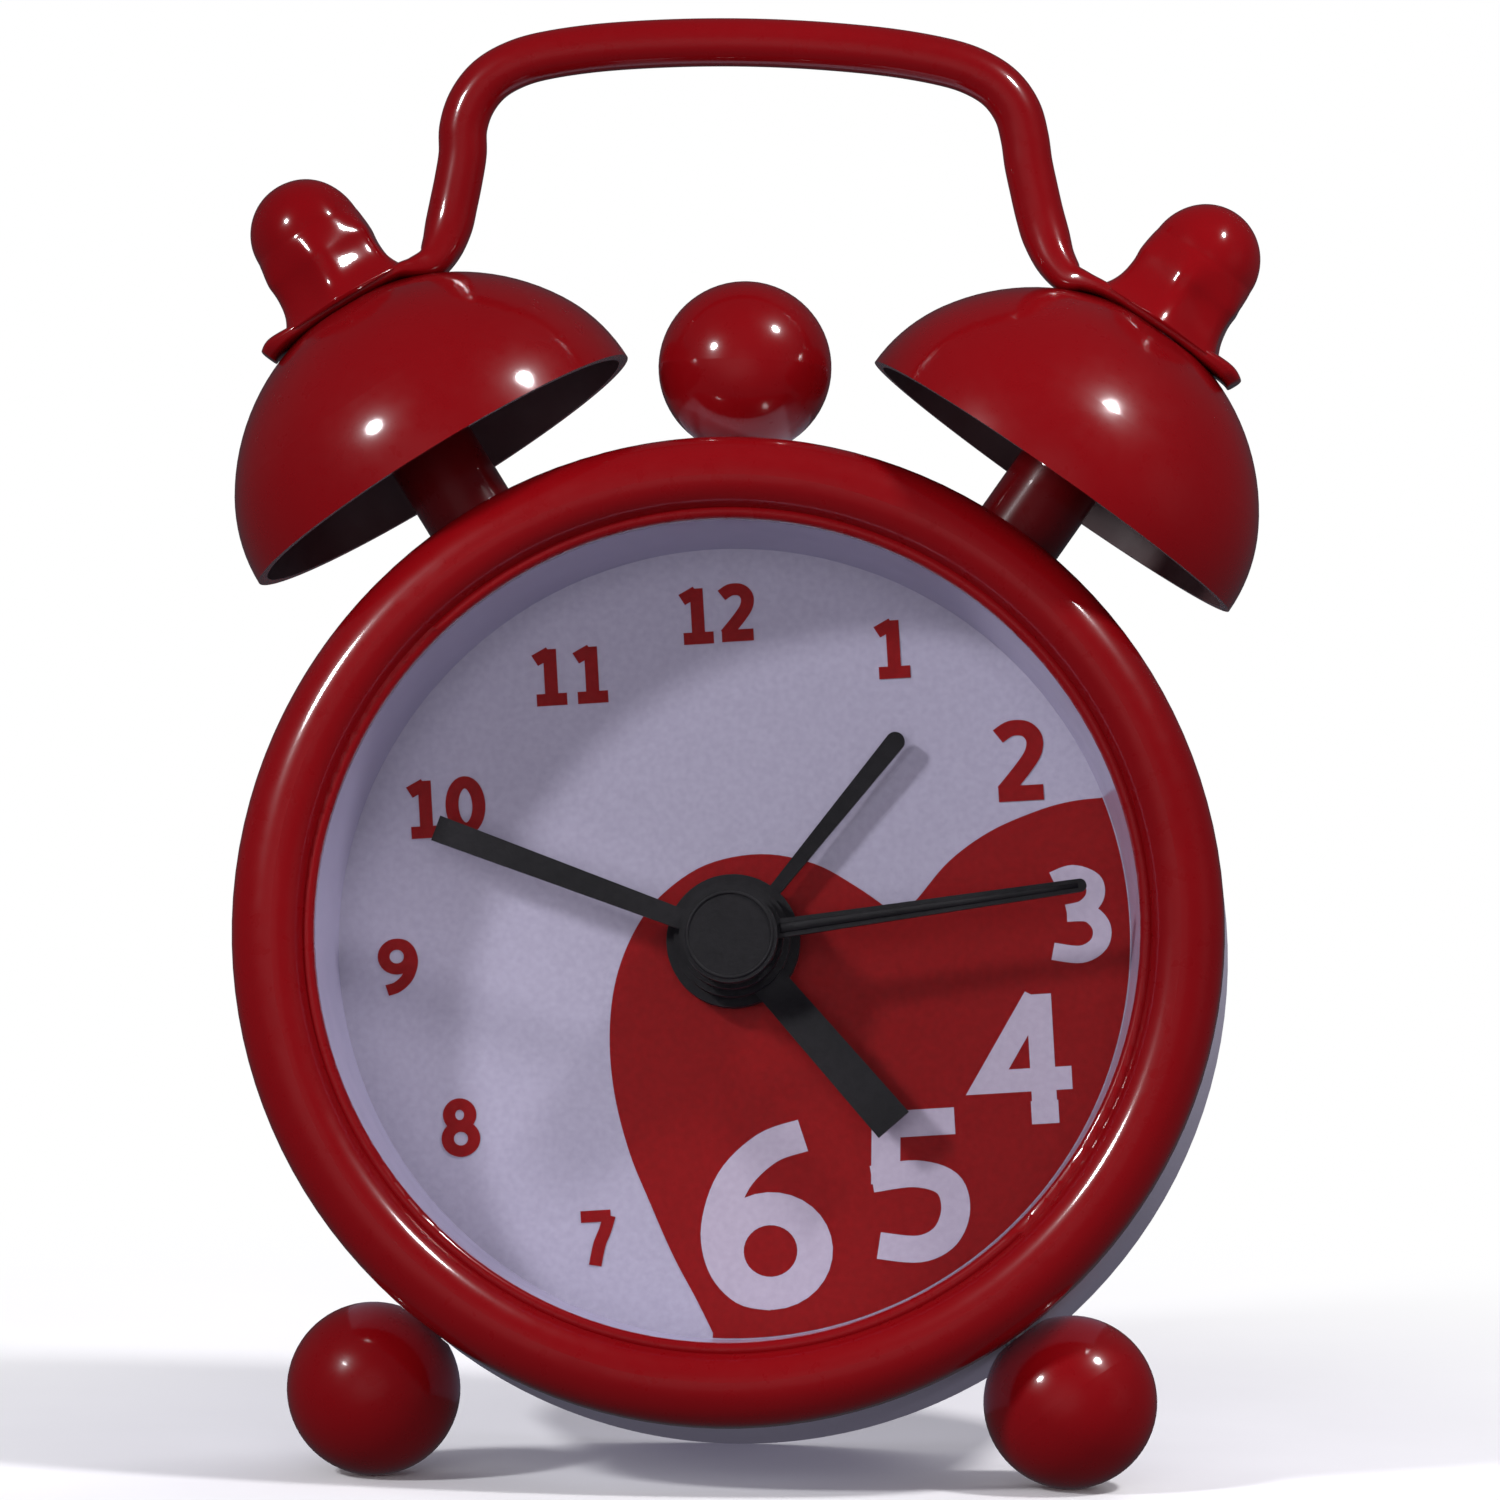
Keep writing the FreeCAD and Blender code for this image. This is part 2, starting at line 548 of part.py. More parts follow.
def make_bell(label, angle):
    """Thin pressed dome with a flat seat on top and a hole for the bolt."""
    body = new_body(label)
    wall = S.bell_wall
    rim = S.bell_rim_distance
    side, crown, meet = dome(S.bell_rim_radius, S.bell_dome, S.bell_side_offset)
    inner_side, inner_crown, inner_meet = dome(
        S.bell_rim_radius - wall, S.bell_dome - wall, S.bell_side_offset)
    drop = crown - S.bell_dome
    inner_drop = inner_crown - (S.bell_dome - wall)
    hole = S.bolt_radius + S.bolt_clearance
    top = root(crown * crown - S.bell_seat * S.bell_seat) - drop
    inner_top = root(inner_crown * inner_crown - S.bell_seat * S.bell_seat) - inner_drop
    turn_profile(body, [
        (S.bell_rim_radius, rim, side),
        (meet[0], rim + meet[1], crown),
        (S.bell_seat, rim + top),
        (hole, rim + top),
        (hole, rim + inner_top),
        (S.bell_seat, rim + inner_top, -inner_crown),
        (inner_meet[0], rim + inner_meet[1], -inner_side),
        (S.bell_rim_radius - wall, rim),
    ])
    keep(body, radial(angle, S.fitting_height))
    return rim + top, rim + inner_top


def make_post(label, angle, top):
    body = new_body(label)
    hole = S.bolt_radius + S.bolt_clearance
    turn_profile(body, [
        (hole, S.case_radius), (S.post_radius, S.case_radius), (S.post_radius, top), (hole, top)])
    keep(body, radial(angle, S.fitting_height))


def make_bell_bolts():
    """Bolts from inside the drum through post, bell and handle tab into the nuts."""
    body = new_body("bell_bolt")
    turn_profile(body, [
        (0, S.bolt_head_top - S.bolt_head_height), (S.bolt_head_radius, S.bolt_head_top - S.bolt_head_height),
        (S.bolt_head_radius, S.bolt_head_top), (S.bolt_radius, S.bolt_head_top),
        (S.bolt_radius, S.bolt_end), (0, S.bolt_end),
    ])
    keep_group("bell_bolts", body, [radial(angle, S.fitting_height) for angle in bell_angles()])


def make_cap_nut(label, angle, seat):
    """Acorn nut: hexagon below, dome above, blind bore."""
    body = new_body(label)
    sketch = new_sketch(body, "XY_Plane", seat)
    flat = S.nut_across_flats / 2
    corner = flat * HEX_FLAT_TO_CORNER
    half = corner / 2
    draw_outline(sketch, [(corner, 0), (half, flat), (-half, flat), (-corner, 0), (-half, -flat), (half, -flat)])
    pad(body, sketch, S.nut_hex)
    dome_centre = seat + S.nut_length - S.nut_dome_radius
    turn_profile(body, [
        (0, seat), (S.nut_dome_radius, seat), (S.nut_dome_radius, dome_centre, S.nut_dome_radius),
        (0, dome_centre + S.nut_dome_radius),
    ])
    cut_circles(body, seat - OVERCUT, seat + S.nut_bore_depth, [(S.bolt_radius + S.press_fit,)])
    keep(body, radial(angle, S.fitting_height))


def bent_path(body, corners, bends):
    """Open path of straight runs through the corners, each inner corner rounded by its own bend radius."""
    sketch = new_sketch(body, "XY_Plane", S.fitting_height)
    points = [vector(*corner) for corner in corners]
    edges = []
    start = points[0]
    for number, bend in enumerate(bends, start=1):
        into = (points[number] - points[number - 1]).normalize()
        out = (points[number + 1] - points[number]).normalize()
        setback = bend.value * math.tan(into.getAngle(out) / 2)
        before = points[number] - into * setback
        after = points[number] + out * setback
        left = into.cross(out).z > 0
        edges.append((Part.LineSegment(start, before), 1, 2))
        arc = arc_between(before, after, bend.value if left else -bend.value)
        edges.append((arc, 1, 2) if left else (arc, 2, 1))
        start = after
    edges.append((Part.LineSegment(start, points[-1]), 1, 2))
    for edge in edges:
        sketch.addGeometry(edge[0], False)
    for number in range(len(edges) - 1):
        joint = (number, edges[number][2], number + 1, edges[number + 1][1])
        sketch.addConstraint(Sketcher.Constraint("Tangent", *joint))
    for number, bend in enumerate(bends):
        bind(sketch, "Radius", (2 * number + 1,), bend)
        sketch.addGeometry(Part.Point(points[number + 1]), True)
        marker = sketch.GeometryCount - 1
        sketch.addConstraint(Sketcher.Constraint("PointOnObject", marker, 1, 2 * number))
        sketch.addConstraint(Sketcher.Constraint("PointOnObject", marker, 1, 2 * number + 2))
        pin_point(sketch, marker, 1, *corners[number + 1])
    pin_point(sketch, 0, 1, *corners[0])
    pin_point(sketch, len(edges) - 1, 2, *corners[-1])
    return sketch


def make_handle(seat):
    """Bent wire whose ends are flattened into tabs, each with a hole for the bell's bolt."""
    body = new_body("handle")
    sway = S.handle_sway
    foot = (S.handle_foot_x, S.handle_foot_y)
    leg = [(S.handle_knee_x, S.handle_knee_y), (S.handle_shoulder_x, S.handle_shoulder_y)]
    corners = [foot] + [(x + sway, y) for x, y in leg] + [(sway, S.handle_crown_y)]
    corners += [(sway - x, y) for x, y in reversed(leg)] + [(-foot[0], foot[1])]
    bends = [S.knee_bend, S.shoulder_bend, S.crown_bend, S.shoulder_bend, S.knee_bend]
    path = bent_path(body, corners, bends)
    run = vector(*corners[1]) - vector(*corners[0])
    facing = FreeCAD.Rotation(FreeCAD.Vector(0, 0, 1), run)
    profile = free_sketch(body, FreeCAD.Placement(vector(*corners[0], S.fitting_height), facing))
    draw_circle(profile, S.wire_radius)
    pipe = body.newObject("PartDesign::AdditivePipe", "handle_wire")
    pipe.Profile = profile
    pipe.Spine = (path, [])
    document.recompute()
    for side, angle in zip((-1, 1), bell_angles()):
        frame = radial(angle, S.fitting_height)
        tab = free_sketch(body, frame.multiply(place(0, 0, seat)))
        width = S.tab_half_width
        outer = side * (S.tab_length - width)
        inner = side * -S.tab_inner_length
        draw_outline(tab, [
            (inner, -width), (outer, -width, side * width), (outer + side * width, 0, side * width),
            (outer, width), (inner, width)])
        pad(body, tab, S.tab_thickness)
        hole = free_sketch(body, frame.multiply(place(0, 0, seat - TAB_HOLE_REACH)))
        draw_circle(hole, S.bolt_radius + S.bolt_clearance)
        cut(body, hole, S.tab_thickness + 2 * TAB_HOLE_REACH)
    keep(body)


# ---------------------------------------------------------------- balls

def make_ball(label, angle):
    """Ball with a flat where it meets the drum and a blind hole for its screw."""
    body = new_body(label)
    centre = S.ball_distance
    flat = root(S.ball_radius * S.ball_radius - S.ball_flat * S.ball_flat)
    turn_profile(body, [
        (0, centre - flat), (S.ball_flat, centre - flat, S.ball_radius), (S.ball_radius, centre, S.ball_radius),
        (0, centre + S.ball_radius),
    ])
    depth = S.ball_screw_seat + S.ball_screw_length + S.end_room
    cut_circles(body, centre - flat - OVERCUT, depth, [(S.ball_screw_radius + S.press_fit,)])
    keep(body, radial(angle, S.ball_fitting_height))


def make_ball_screws():
    body = new_body("ball_screw")
    seat = S.ball_screw_seat
    turn_profile(body, [
        (0, seat - S.ball_screw_head_height), (S.ball_screw_head, seat - S.ball_screw_head_height),
        (S.ball_screw_head, seat), (S.ball_screw_radius, seat),
        (S.ball_screw_radius, seat + S.ball_screw_length), (0, seat + S.ball_screw_length),
    ])
    keep_group("ball_screws", body, [radial(angle, S.ball_fitting_height) for angle in ball_angles()])


# ---------------------------------------------------------------- hands

def make_hand(label, level, hub, bore, length, widths, angle, tip_round):
    """Moulded hand: a flat boss pressed on its tube and a blade that widens towards the tip."""
    body = new_body(label)
    closed = bore is None
    circles = [(hub,)] if closed else [(hub,), (bore,)]
    pad_circles(body, level, level + S.hub_height, circles)
    half_root, half_tip = widths[0] / 2, widths[1] / 2
    start = hub * HUB_OVERLAP
    outline = [(half_root, start), (half_tip, length), (-half_tip, length), (-half_root, start)]
    if tip_round:
        shoulder = length - half_tip
        tip = half_tip * TIP_ROUND
        outline = [(half_root, start), (half_tip, shoulder, tip), (0, length, tip),
                   (-half_tip, shoulder), (-half_root, start)]
    pad_outline(body, level + S.blade_lift, level + S.blade_lift + S.blade, outline)
    if closed:
        cut_circles(body, level - OVERCUT, S.second_arbor_end + S.running_gap, [(S.second_arbor + S.press_fit,)])
    keep(body, place(turn=angle))


def make_hands():
    make_hand("alarm_hand", S.alarm_level, S.alarm_hub, S.alarm_tube, S.alarm_length,
              (S.alarm_root, S.alarm_tip), S.alarm_angle, True)
    make_hand("hour_hand", S.hour_level, S.hour_hub, S.hour_tube, S.hour_length,
              (S.hour_root, S.hour_tip), S.hour_angle, False)
    make_hand("minute_hand", S.minute_level, S.minute_hub, S.minute_tube, S.minute_length,
              (S.minute_root, S.minute_tip), S.minute_angle, False)
    make_hand("second_hand", S.second_level, S.second_hub, None, S.second_length,
              (S.second_root, S.second_tip), S.second_angle, True)


# ---------------------------------------------------------------- gear train

def toothed(body, base, top, teeth, module, bore, facing, gap_first):
    """Toothed ring. Facing is the direction of its partner; a gap or a tooth stands there in the rest pose."""
    tip = module * (teeth / 2 + S.tooth_tip)
    depth = module * (teeth / 2 - S.tooth_root)
    sketch = new_sketch(body, "XY_Plane", base)
    draw_circle(sketch, tip)
    if bore is not None:
        draw_circle(sketch, bore)
    pad(body, sketch, as_size(top) - base)
    few = teeth.value < FEW_TEETH
    gap_turn = facing if gap_first else facing + 180 / teeth.value
    gap = new_sketch(body, "XY_Plane", as_size(base) - TOOTH_OVERCUT, turn=gap_turn)
    reach = tip + module * GAP_REACH
    half_floor = module * (GAP_FLOOR_FEW if few else GAP_FLOOR_MANY)
    half_mouth = module * (GAP_MOUTH_FEW if few else GAP_MOUTH_MANY)
    draw_outline(gap, [(depth, -half_floor), (reach, -half_mouth), (reach, half_mouth), (depth, half_floor)])
    feature = cut(body, gap, as_size(top) - base + 2 * TOOTH_OVERCUT)
    repeat_round(body, feature, gap, teeth)


UP, DOWN, LEFT, RIGHT = 90.0, 270.0, 180.0, 0.0


def make_rotor():
    """Magnet, 8-leaf pinion and arbor in one piece."""
    body = new_body("rotor")
    toothed(body, S.rotor_pinion_back, S.rotor_pinion_front, S.rotor_teeth, S.rotor_module, None, UP, False)
    pad_circles(body, S.rotor_pinion_front, S.magnet_back, [(S.rotor_collar,)])
    pad_circles(body, S.magnet_back, S.magnet_front, [(S.magnet_radius,)])
    pad_circles(body, S.pivot_back, S.pivot_front, [(S.fine_arbor,)])
    keep(body, place(0, S.rotor_y))


def make_intermediate_wheel():
    body = new_body("intermediate_wheel")
    back = S.intermediate_back
    toothed(body, back, back + S.wheel_thickness, S.intermediate_teeth, S.rotor_module, None, DOWN, True)
    toothed(body, S.intermediate_pinion_back, back, S.intermediate_pinion, S.second_module, None, UP, False)
    pad_circles(body, S.pivot_back, S.pivot_front, [(S.fine_arbor,)])
    keep(body, place(0, S.intermediate_y))


def make_second_wheel():
    """Second wheel and pinion on the arbor that carries the second hand."""
    body = new_body("second_wheel")
    front = S.second_back + S.wheel_thickness
    toothed(body, S.second_back, front, S.second_teeth, S.second_module, None, DOWN, True)
    toothed(body, front, S.second_pinion_front, S.second_pinion, S.third_module, None, UP, False)
    pad_circles(body, S.pivot_back, S.second_arbor_end, [(S.second_arbor,)])
    keep(body)


def make_third_wheel():
    body = new_body("third_wheel")
    front = S.third_back + S.wheel_thickness
    toothed(body, S.third_back, front, S.third_teeth, S.third_module, None, DOWN, True)
    toothed(body, front, S.third_pinion_front, S.third_pinion, S.centre_module, None, DOWN, False)
    pad_circles(body, S.pivot_back, S.pivot_front, [(S.fine_arbor,)])
    keep(body, place(0, S.third_y))


def make_centre_wheel():
    """Wheel gripped by friction on the cannon pinion's tube."""
    body = new_body("centre_wheel")
    front = S.centre_back + S.wheel_thickness
    bore = S.minute_tube + S.running_gap
    toothed(body, S.centre_back, front, S.centre_teeth, S.centre_module, bore, UP, True)
    keep(body)


def make_cannon_pinion():
    """Tube on the second arbor: it carries the minute hand and drives the minute wheel."""
    body = new_body("cannon_pinion")
    bore = S.second_arbor + S.running_gap
    toothed(body, S.cannon_pinion_back, S.cannon_pinion_front, S.cannon_teeth, S.minute_module, bore, RIGHT, False)
    pad_circles(body, S.cannon_back, S.minute_level + S.hub_height, [(S.minute_tube,), (bore,)])
    keep(body)


def make_minute_wheel():
    """Minute wheel and pinion; its arbor runs out through the back cover to the time setting knob."""
    body = new_body("minute_wheel")
    front = S.minute_back + S.wheel_thickness
    toothed(body, S.minute_back, front, S.minute_teeth, S.minute_module, None, LEFT, True)
    toothed(body, front, S.minute_pinion_front, S.minute_pinion, S.hour_module, None, LEFT, False)
    pad_circles(body, S.knob_back + S.knob_cap, S.pivot_front, [(S.setting_arbor,)])
    keep(body, place(S.minute_x, 0))


def make_hour_wheel():
    body = new_body("hour_wheel")
    bore = S.minute_tube + S.running_gap
    toothed(body, S.hour_back, S.hour_back + S.wheel_thickness, S.hour_teeth, S.hour_module, bore, RIGHT, True)
    pad_circles(body, S.hour_back, S.hour_level + S.hub_height, [(S.hour_tube,), (bore,)])
    keep(body)


def make_alarm_wheel():
    body = new_body("alarm_wheel")
    bore = S.hour_tube + S.running_gap
    toothed(body, S.alarm_back, S.alarm_back + S.wheel_thickness, S.alarm_teeth, S.alarm_module, bore, LEFT, True)
    pad_circles(body, S.alarm_back, S.alarm_level + S.hub_height, [(S.alarm_tube,), (bore,)])
    keep(body)


def make_alarm_setting_wheel():
    body = new_body("alarm_setting_wheel")
    toothed(body, S.setting_back, S.setting_front, S.setting_teeth, S.alarm_module, None, RIGHT, False)
    pad_circles(body, S.knob_back + S.knob_cap, S.pivot_front, [(S.setting_arbor,)])
    keep(body, place(S.setting_x, 0))


def make_knob(label, x):
    """Fluted knob pressed on the end of a setting arbor."""
    body = new_body(label)
    pad_circles(body, S.knob_back, S.knob_front, [(S.knob_radius,)])
    flute = new_sketch(body, "XY_Plane", S.knob_back - OVERCUT)
    draw_circle(flute, S.flute_radius, S.knob_radius + S.flute_offset, ZERO)
    feature = cut(body, flute, S.knob_front - S.knob_back + 2 * OVERCUT)
    repeat_round(body, feature, flute, S.knob_flutes)
    cut_circles(body, S.knob_back + S.knob_cap, S.knob_front + OVERCUT, [(S.setting_arbor,)])
    keep(body, place(x, 0))


# ---------------------------------------------------------------- movement case

def boss_places():
    """Screw bosses round the movement, the first at 12 o'clock."""
    places = [(ZERO, S.boss_distance)]
    for side in (-1, 1):
        places.append((side * S.boss_distance * SINE_120, COSINE_120 * S.boss_distance))
    return places


def board_post_places():
    return [(S.upper_post_x, S.upper_post_y), (S.lower_post_x, S.lower_post_y)]


def make_movement_case():
    """Moulded cup: floor with pivot holes, rim wall, screw bosses, battery well and rests for board and motor."""
    body = new_body("movement_case")
    outer = S.movement_radius
    pad_circles(body, S.floor_back, S.floor_front, [(outer,)])
    pad_circles(body, S.floor_front, S.plate_back, [(outer,), (outer - S.movement_wall,)])
    for x, y in boss_places():
        pad_circles(body, S.cover_front, S.plate_back, [(S.boss_radius, x, y)])
    well = S.cell_radius + S.well_gap
    pad_circles(body, S.floor_front, S.well_front, [(well + S.well_wall, S.cell_x, S.cell_y)])
    cut_circles(body, S.floor_back - OVERCUT, S.cell_front, [(well, S.cell_x, S.cell_y)])
    cut_outline(body, S.floor_front + S.blind_floor, S.cell_front, box_corners(
        S.cell_x - S.window_left, S.cell_y - S.window_bottom, S.cell_x - S.window_right, S.cell_y - S.window_top))
    for x, y in boss_places():
        cut_circles(body, S.cover_front - OVERCUT, S.plate_back + OVERCUT, [(S.screw_hole, x, y)])
    inside = S.floor_front - OVERCUT
    for x, y in board_post_places():
        pad_circles(body, inside, S.board_back, [(S.post_step_radius, x, y)])
        pad_circles(body, S.board_back - OVERCUT, S.board_front + S.post_pin_rise, [(S.post_pin_radius, x, y)])
    for side in (-1, 1):
        rest_x = side * S.ear_x
        pad_circles(body, inside, S.core_back, [(S.rest_radius, rest_x, S.coil_y)])
        cut_circles(body, S.floor_front + S.blind_floor, S.core_back + OVERCUT, [
            (S.ear_screw + S.press_fit, rest_x, S.coil_y)])
    pivot = S.fine_arbor + S.running_gap
    cut_circles(body, S.floor_front - S.pivot_depth, S.floor_front + OVERCUT, [
        (S.second_arbor + S.running_gap,), (pivot, ZERO, S.third_y), (pivot, ZERO, S.intermediate_y),
        (pivot, ZERO, S.rotor_y)])
    arbor = S.setting_arbor + S.running_gap
    cut_circles(body, S.floor_back - OVERCUT, S.floor_front + OVERCUT, [
        (arbor, S.minute_x, ZERO), (arbor, S.setting_x, ZERO), (S.sound_hole, S.buzzer_x, S.buzzer_y)])
    keep(body)


def make_front_plate():
    """Plate that closes the movement and carries the front pivots."""
    body = new_body("front_plate")
    pad_circles(body, S.plate_back, S.plate_front, [
        (S.movement_radius,), (S.alarm_tube + S.running_gap,)])
    pivot = S.fine_arbor + S.running_gap
    arbor = S.setting_arbor + S.running_gap
    below = S.plate_back - OVERCUT
    above = S.plate_front + OVERCUT
    cut_circles(body, below, S.pivot_front + S.end_shake, [
        (pivot, ZERO, S.third_y), (pivot, ZERO, S.intermediate_y), (pivot, ZERO, S.rotor_y),
        (arbor, S.minute_x, ZERO), (arbor, S.setting_x, ZERO)])
    for x, y in boss_places():
        cut_circles(body, below, above, [(S.screw_hole + S.screw_clearance, x, y)])
        cut_circles(body, S.plate_front - S.plate_sink, above, [(S.screw_head + S.plate_sink_gap, x, y)])
    keep(body)


def small_screw(label):
    """Self-tapping screw drawn head up: the head's seat is at Z = 0 and the shank points to -Z."""
    body = new_body(label)
    turn_profile(body, [
        (0, -S.screw_length), (S.screw_radius, -S.screw_length), (S.screw_radius, 0),
        (S.screw_head, 0), (S.screw_head, S.screw_head_height), (0, S.screw_head_height),
    ])
    slot = new_sketch(body, "XY_Plane", S.screw_slot_floor)
    draw_outline(slot, box_corners(
        -S.screw_slot_reach, -S.screw_slot_half, S.screw_slot_reach, S.screw_slot_half))
    cut(body, slot, S.screw_head_height)
    return body


def make_screws():
    places = boss_places()
    flip = FreeCAD.Rotation(FreeCAD.Vector(1, 0, 0), 180)
    rear_seat = S.cover_back + S.screw_sink
    front_seat = S.plate_front - S.plate_sink
    from_rear = [FreeCAD.Placement(vector(x, y, rear_seat), flip) for x, y in places]
    keep_group("back_cover_screws", small_screw("back_cover_screw"), from_rear)
    keep_group("movement_screws", small_screw("movement_screw"), [place(x, y, front_seat) for x, y in places])


# ---------------------------------------------------------------- motor

def make_motor():
    """Stator plate round the rotor, coil core under its ears, bobbin, winding and the two ear screws."""
    low = S.coil_y - S.stator_below
    ear_holes = [(S.ear_screw + S.running_gap, side * S.ear_x, S.coil_y) for side in (1, -1)]
    stator = new_body("stator")
    right = [
        (S.stator_leg_x, low), (S.ear_end, low), (S.ear_end, S.stator_leg_y),
        (S.stator_waist_x, S.stator_waist_y), (S.stator_top_x, S.stator_top_y)]
    left = [(-x, y) for x, y in reversed(right)]
    inner = [
        (-S.stator_leg_x, S.stator_leg_y), (-S.stator_arch_x, S.stator_arch_y),
        (S.stator_arch_x, S.stator_arch_y), (S.stator_leg_x, S.stator_leg_y)]
    pad_outline(stator, S.stator_back, S.stator_front, right + left + inner)
    cut_circles(stator, S.stator_back - OVERCUT, S.stator_front + OVERCUT, [
        (S.stator_hole, ZERO, S.rotor_y)] + ear_holes)
    keep(stator)

    core = new_body("coil_core")
    pad_outline(core, S.core_back, S.stator_back, box_corners(
        -S.ear_end, S.coil_y - S.core_half, S.ear_end, S.coil_y + S.core_half))
    cut_circles(core, S.core_back - OVERCUT, S.stator_back + OVERCUT, ear_holes)
    keep(core)

    across = FreeCAD.Rotation(FreeCAD.Vector(0, 1, 0), 90)
    lengthwise = FreeCAD.Placement(vector(0, S.coil_y, S.coil_height), across)
    end = S.coil_half_length + S.coil_flange
    flange = S.coil_radius + S.flange_rise
    bobbin = new_body("coil_bobbin")
    turn_profile(bobbin, [
        (0, -end), (flange, -end), (flange, -S.coil_half_length),
        (S.coil_tube, -S.coil_half_length), (S.coil_tube, S.coil_half_length),
        (flange, S.coil_half_length), (flange, end), (0, end),
    ])
    cut_outline(bobbin, -end - OVERCUT, end + OVERCUT, box_corners(
        -S.bobbin_slot_across, -S.bobbin_slot_up, S.bobbin_slot_across, S.bobbin_slot_up))
    keep(bobbin, lengthwise)

    winding = new_body("coil_winding")
    turn_profile(winding, [
        (S.coil_tube, -S.coil_half_length), (S.coil_radius, -S.coil_half_length),
        (S.coil_radius, S.coil_half_length), (S.coil_tube, S.coil_half_length),
    ])
    keep(winding, lengthwise)

    screw = new_body("ear_screw")
    head_top = S.stator_front + S.ear_screw_head_height
    turn_profile(screw, [
        (0, S.ear_screw_end), (S.ear_screw, S.ear_screw_end), (S.ear_screw, S.stator_front),
        (S.ear_screw_head, S.stator_front), (S.ear_screw_head, head_top), (0, head_top),
    ])
    keep_group("motor_screws", screw, [place(side * S.ear_x, S.coil_y) for side in (-1, 1)])


# ---------------------------------------------------------------- electrics

def make_board():
    """Circuit board on two posts, with the crystal and the timer chip under it."""
    body = new_body("circuit_board")
    pad_outline(body, S.board_back, S.board_front, box_corners(
        S.board_left, S.board_bottom, S.board_right, S.board_top))
    pin_hole = S.post_pin_radius + S.running_gap
    cut_circles(body, S.board_back - OVERCUT, S.board_front + OVERCUT, [
        (pin_hole, x, y) for x, y in board_post_places()])
    keep(body)

    crystal = new_body("quartz_crystal")
    turn_profile(crystal, [
        (0, -S.crystal_half_length), (S.crystal_radius, -S.crystal_half_length),
        (S.crystal_radius, S.crystal_half_length), (0, S.crystal_half_length)])
    upright = FreeCAD.Rotation(FreeCAD.Vector(1, 0, 0), 90)
    keep(crystal, FreeCAD.Placement(vector(S.crystal_x, S.crystal_y, S.board_back - S.crystal_radius), upright))

    chip = new_body("timer_chip")
    pad_outline(chip, S.board_back - S.chip_height, S.board_back, box_corners(
        S.chip_left, S.chip_bottom, S.chip_right, S.chip_top))
    keep(chip)


def make_battery_cell():
    """Button cell: can with a narrower cap on the front side."""
    body = new_body("button_cell")
    radius = S.cell_radius
    turn_profile(body, [
        (0, S.cell_back), (radius, S.cell_back), (radius, S.cell_front - S.cell_crimp_back),
        (radius - S.cell_crimp_in, S.cell_front - S.cell_crimp_front),
        (radius - S.cell_cap_in, S.cell_front), (0, S.cell_front),
    ])
    keep(body, place(S.cell_x, S.cell_y))


def make_contacts():
    """Leaf springs: minus on the cell's cap, plus against its side, and the alarm contact over the board."""
    back = S.board_front
    front = back + S.leaf_thickness
    minus = new_body("contact_minus")
    pad_outline(minus, back, front, box_corners(
        S.cell_x - S.leaf_half_width, ZERO, S.cell_x + S.leaf_half_width, S.cell_y + S.leaf_half_width))
    pad_circles(minus, S.cell_front, back + OVERCUT, [(S.leaf_dimple, S.cell_x, S.cell_y)])
    keep(minus)

    plus = new_body("contact_plus")
    left, right = S.cell_x - S.plus_left, S.cell_x - S.plus_right
    spring_front = S.cell_y - S.plus_spring_front
    pad_outline(plus, back, front, box_corners(left, S.plus_bottom, right, spring_front))
    pad_outline(plus, S.floor_front + S.plus_spring_base, back + OVERCUT, box_corners(
        left, S.cell_y - S.plus_spring_back, right, spring_front))
    keep(plus)

    alarm = new_body("alarm_contact")
    leaf = back + S.alarm_leaf_rise
    pad_outline(alarm, back, leaf + OVERCUT, box_corners(
        S.alarm_leaf_left, S.alarm_leaf_bottom, S.alarm_leaf_foot, S.alarm_leaf_top))
    pad_outline(alarm, leaf, leaf + S.alarm_leaf_thickness, box_corners(
        S.alarm_leaf_left, S.alarm_leaf_bottom, S.alarm_leaf_right, S.alarm_leaf_top))
    keep(alarm)


def make_buzzer():
    """Flat sounder with a sound hole towards the back cover's slots."""
    body = new_body("buzzer")
    base = S.floor_front
    turn_profile(body, [
        (S.buzzer_hole, base), (S.buzzer_radius, base), (S.buzzer_radius, base + S.buzzer_height),
        (0, base + S.buzzer_height), (0, base + S.buzzer_hole_depth), (S.buzzer_hole, base + S.buzzer_hole_depth),
    ])
    keep(body, place(S.buzzer_x, S.buzzer_y))


def make_alarm_switch():
    """Slider in the back cover: grip outside, wide foot inside."""
    body = new_body("alarm_switch")
    x, y = -S.switch_travel / 2, S.switch_y
    pad_outline(body, S.cover_back - S.grip_height, S.cover_front + S.grip_front, box_corners(
        x - S.grip_half_width, y - S.grip_half_length, x + S.grip_half_width, y + S.grip_half_length))
    pad_outline(body, S.cover_front + S.slider_back, S.cover_front + S.slider_front, box_corners(
        x - S.slider_half, y - S.slider_half, x + S.slider_half, y + S.slider_half))
    keep(body)


# ---------------------------------------------------------------- assembly

def lean():
    """How far the drum leans back when it rests on the two balls and on its rounded rear edge, in degrees."""
    edge = S.case_edge_radius.value
    ball_y = -S.ball_distance.value * math.cos(math.radians(S.foot_angle.value))
    down = S.case_radius.value - edge + ball_y
    across = S.ball_fitting_height.value - edge
    gap = S.ball_radius.value - edge
    return math.degrees(math.atan2(across, down) - math.acos(gap / math.hypot(down, across)))


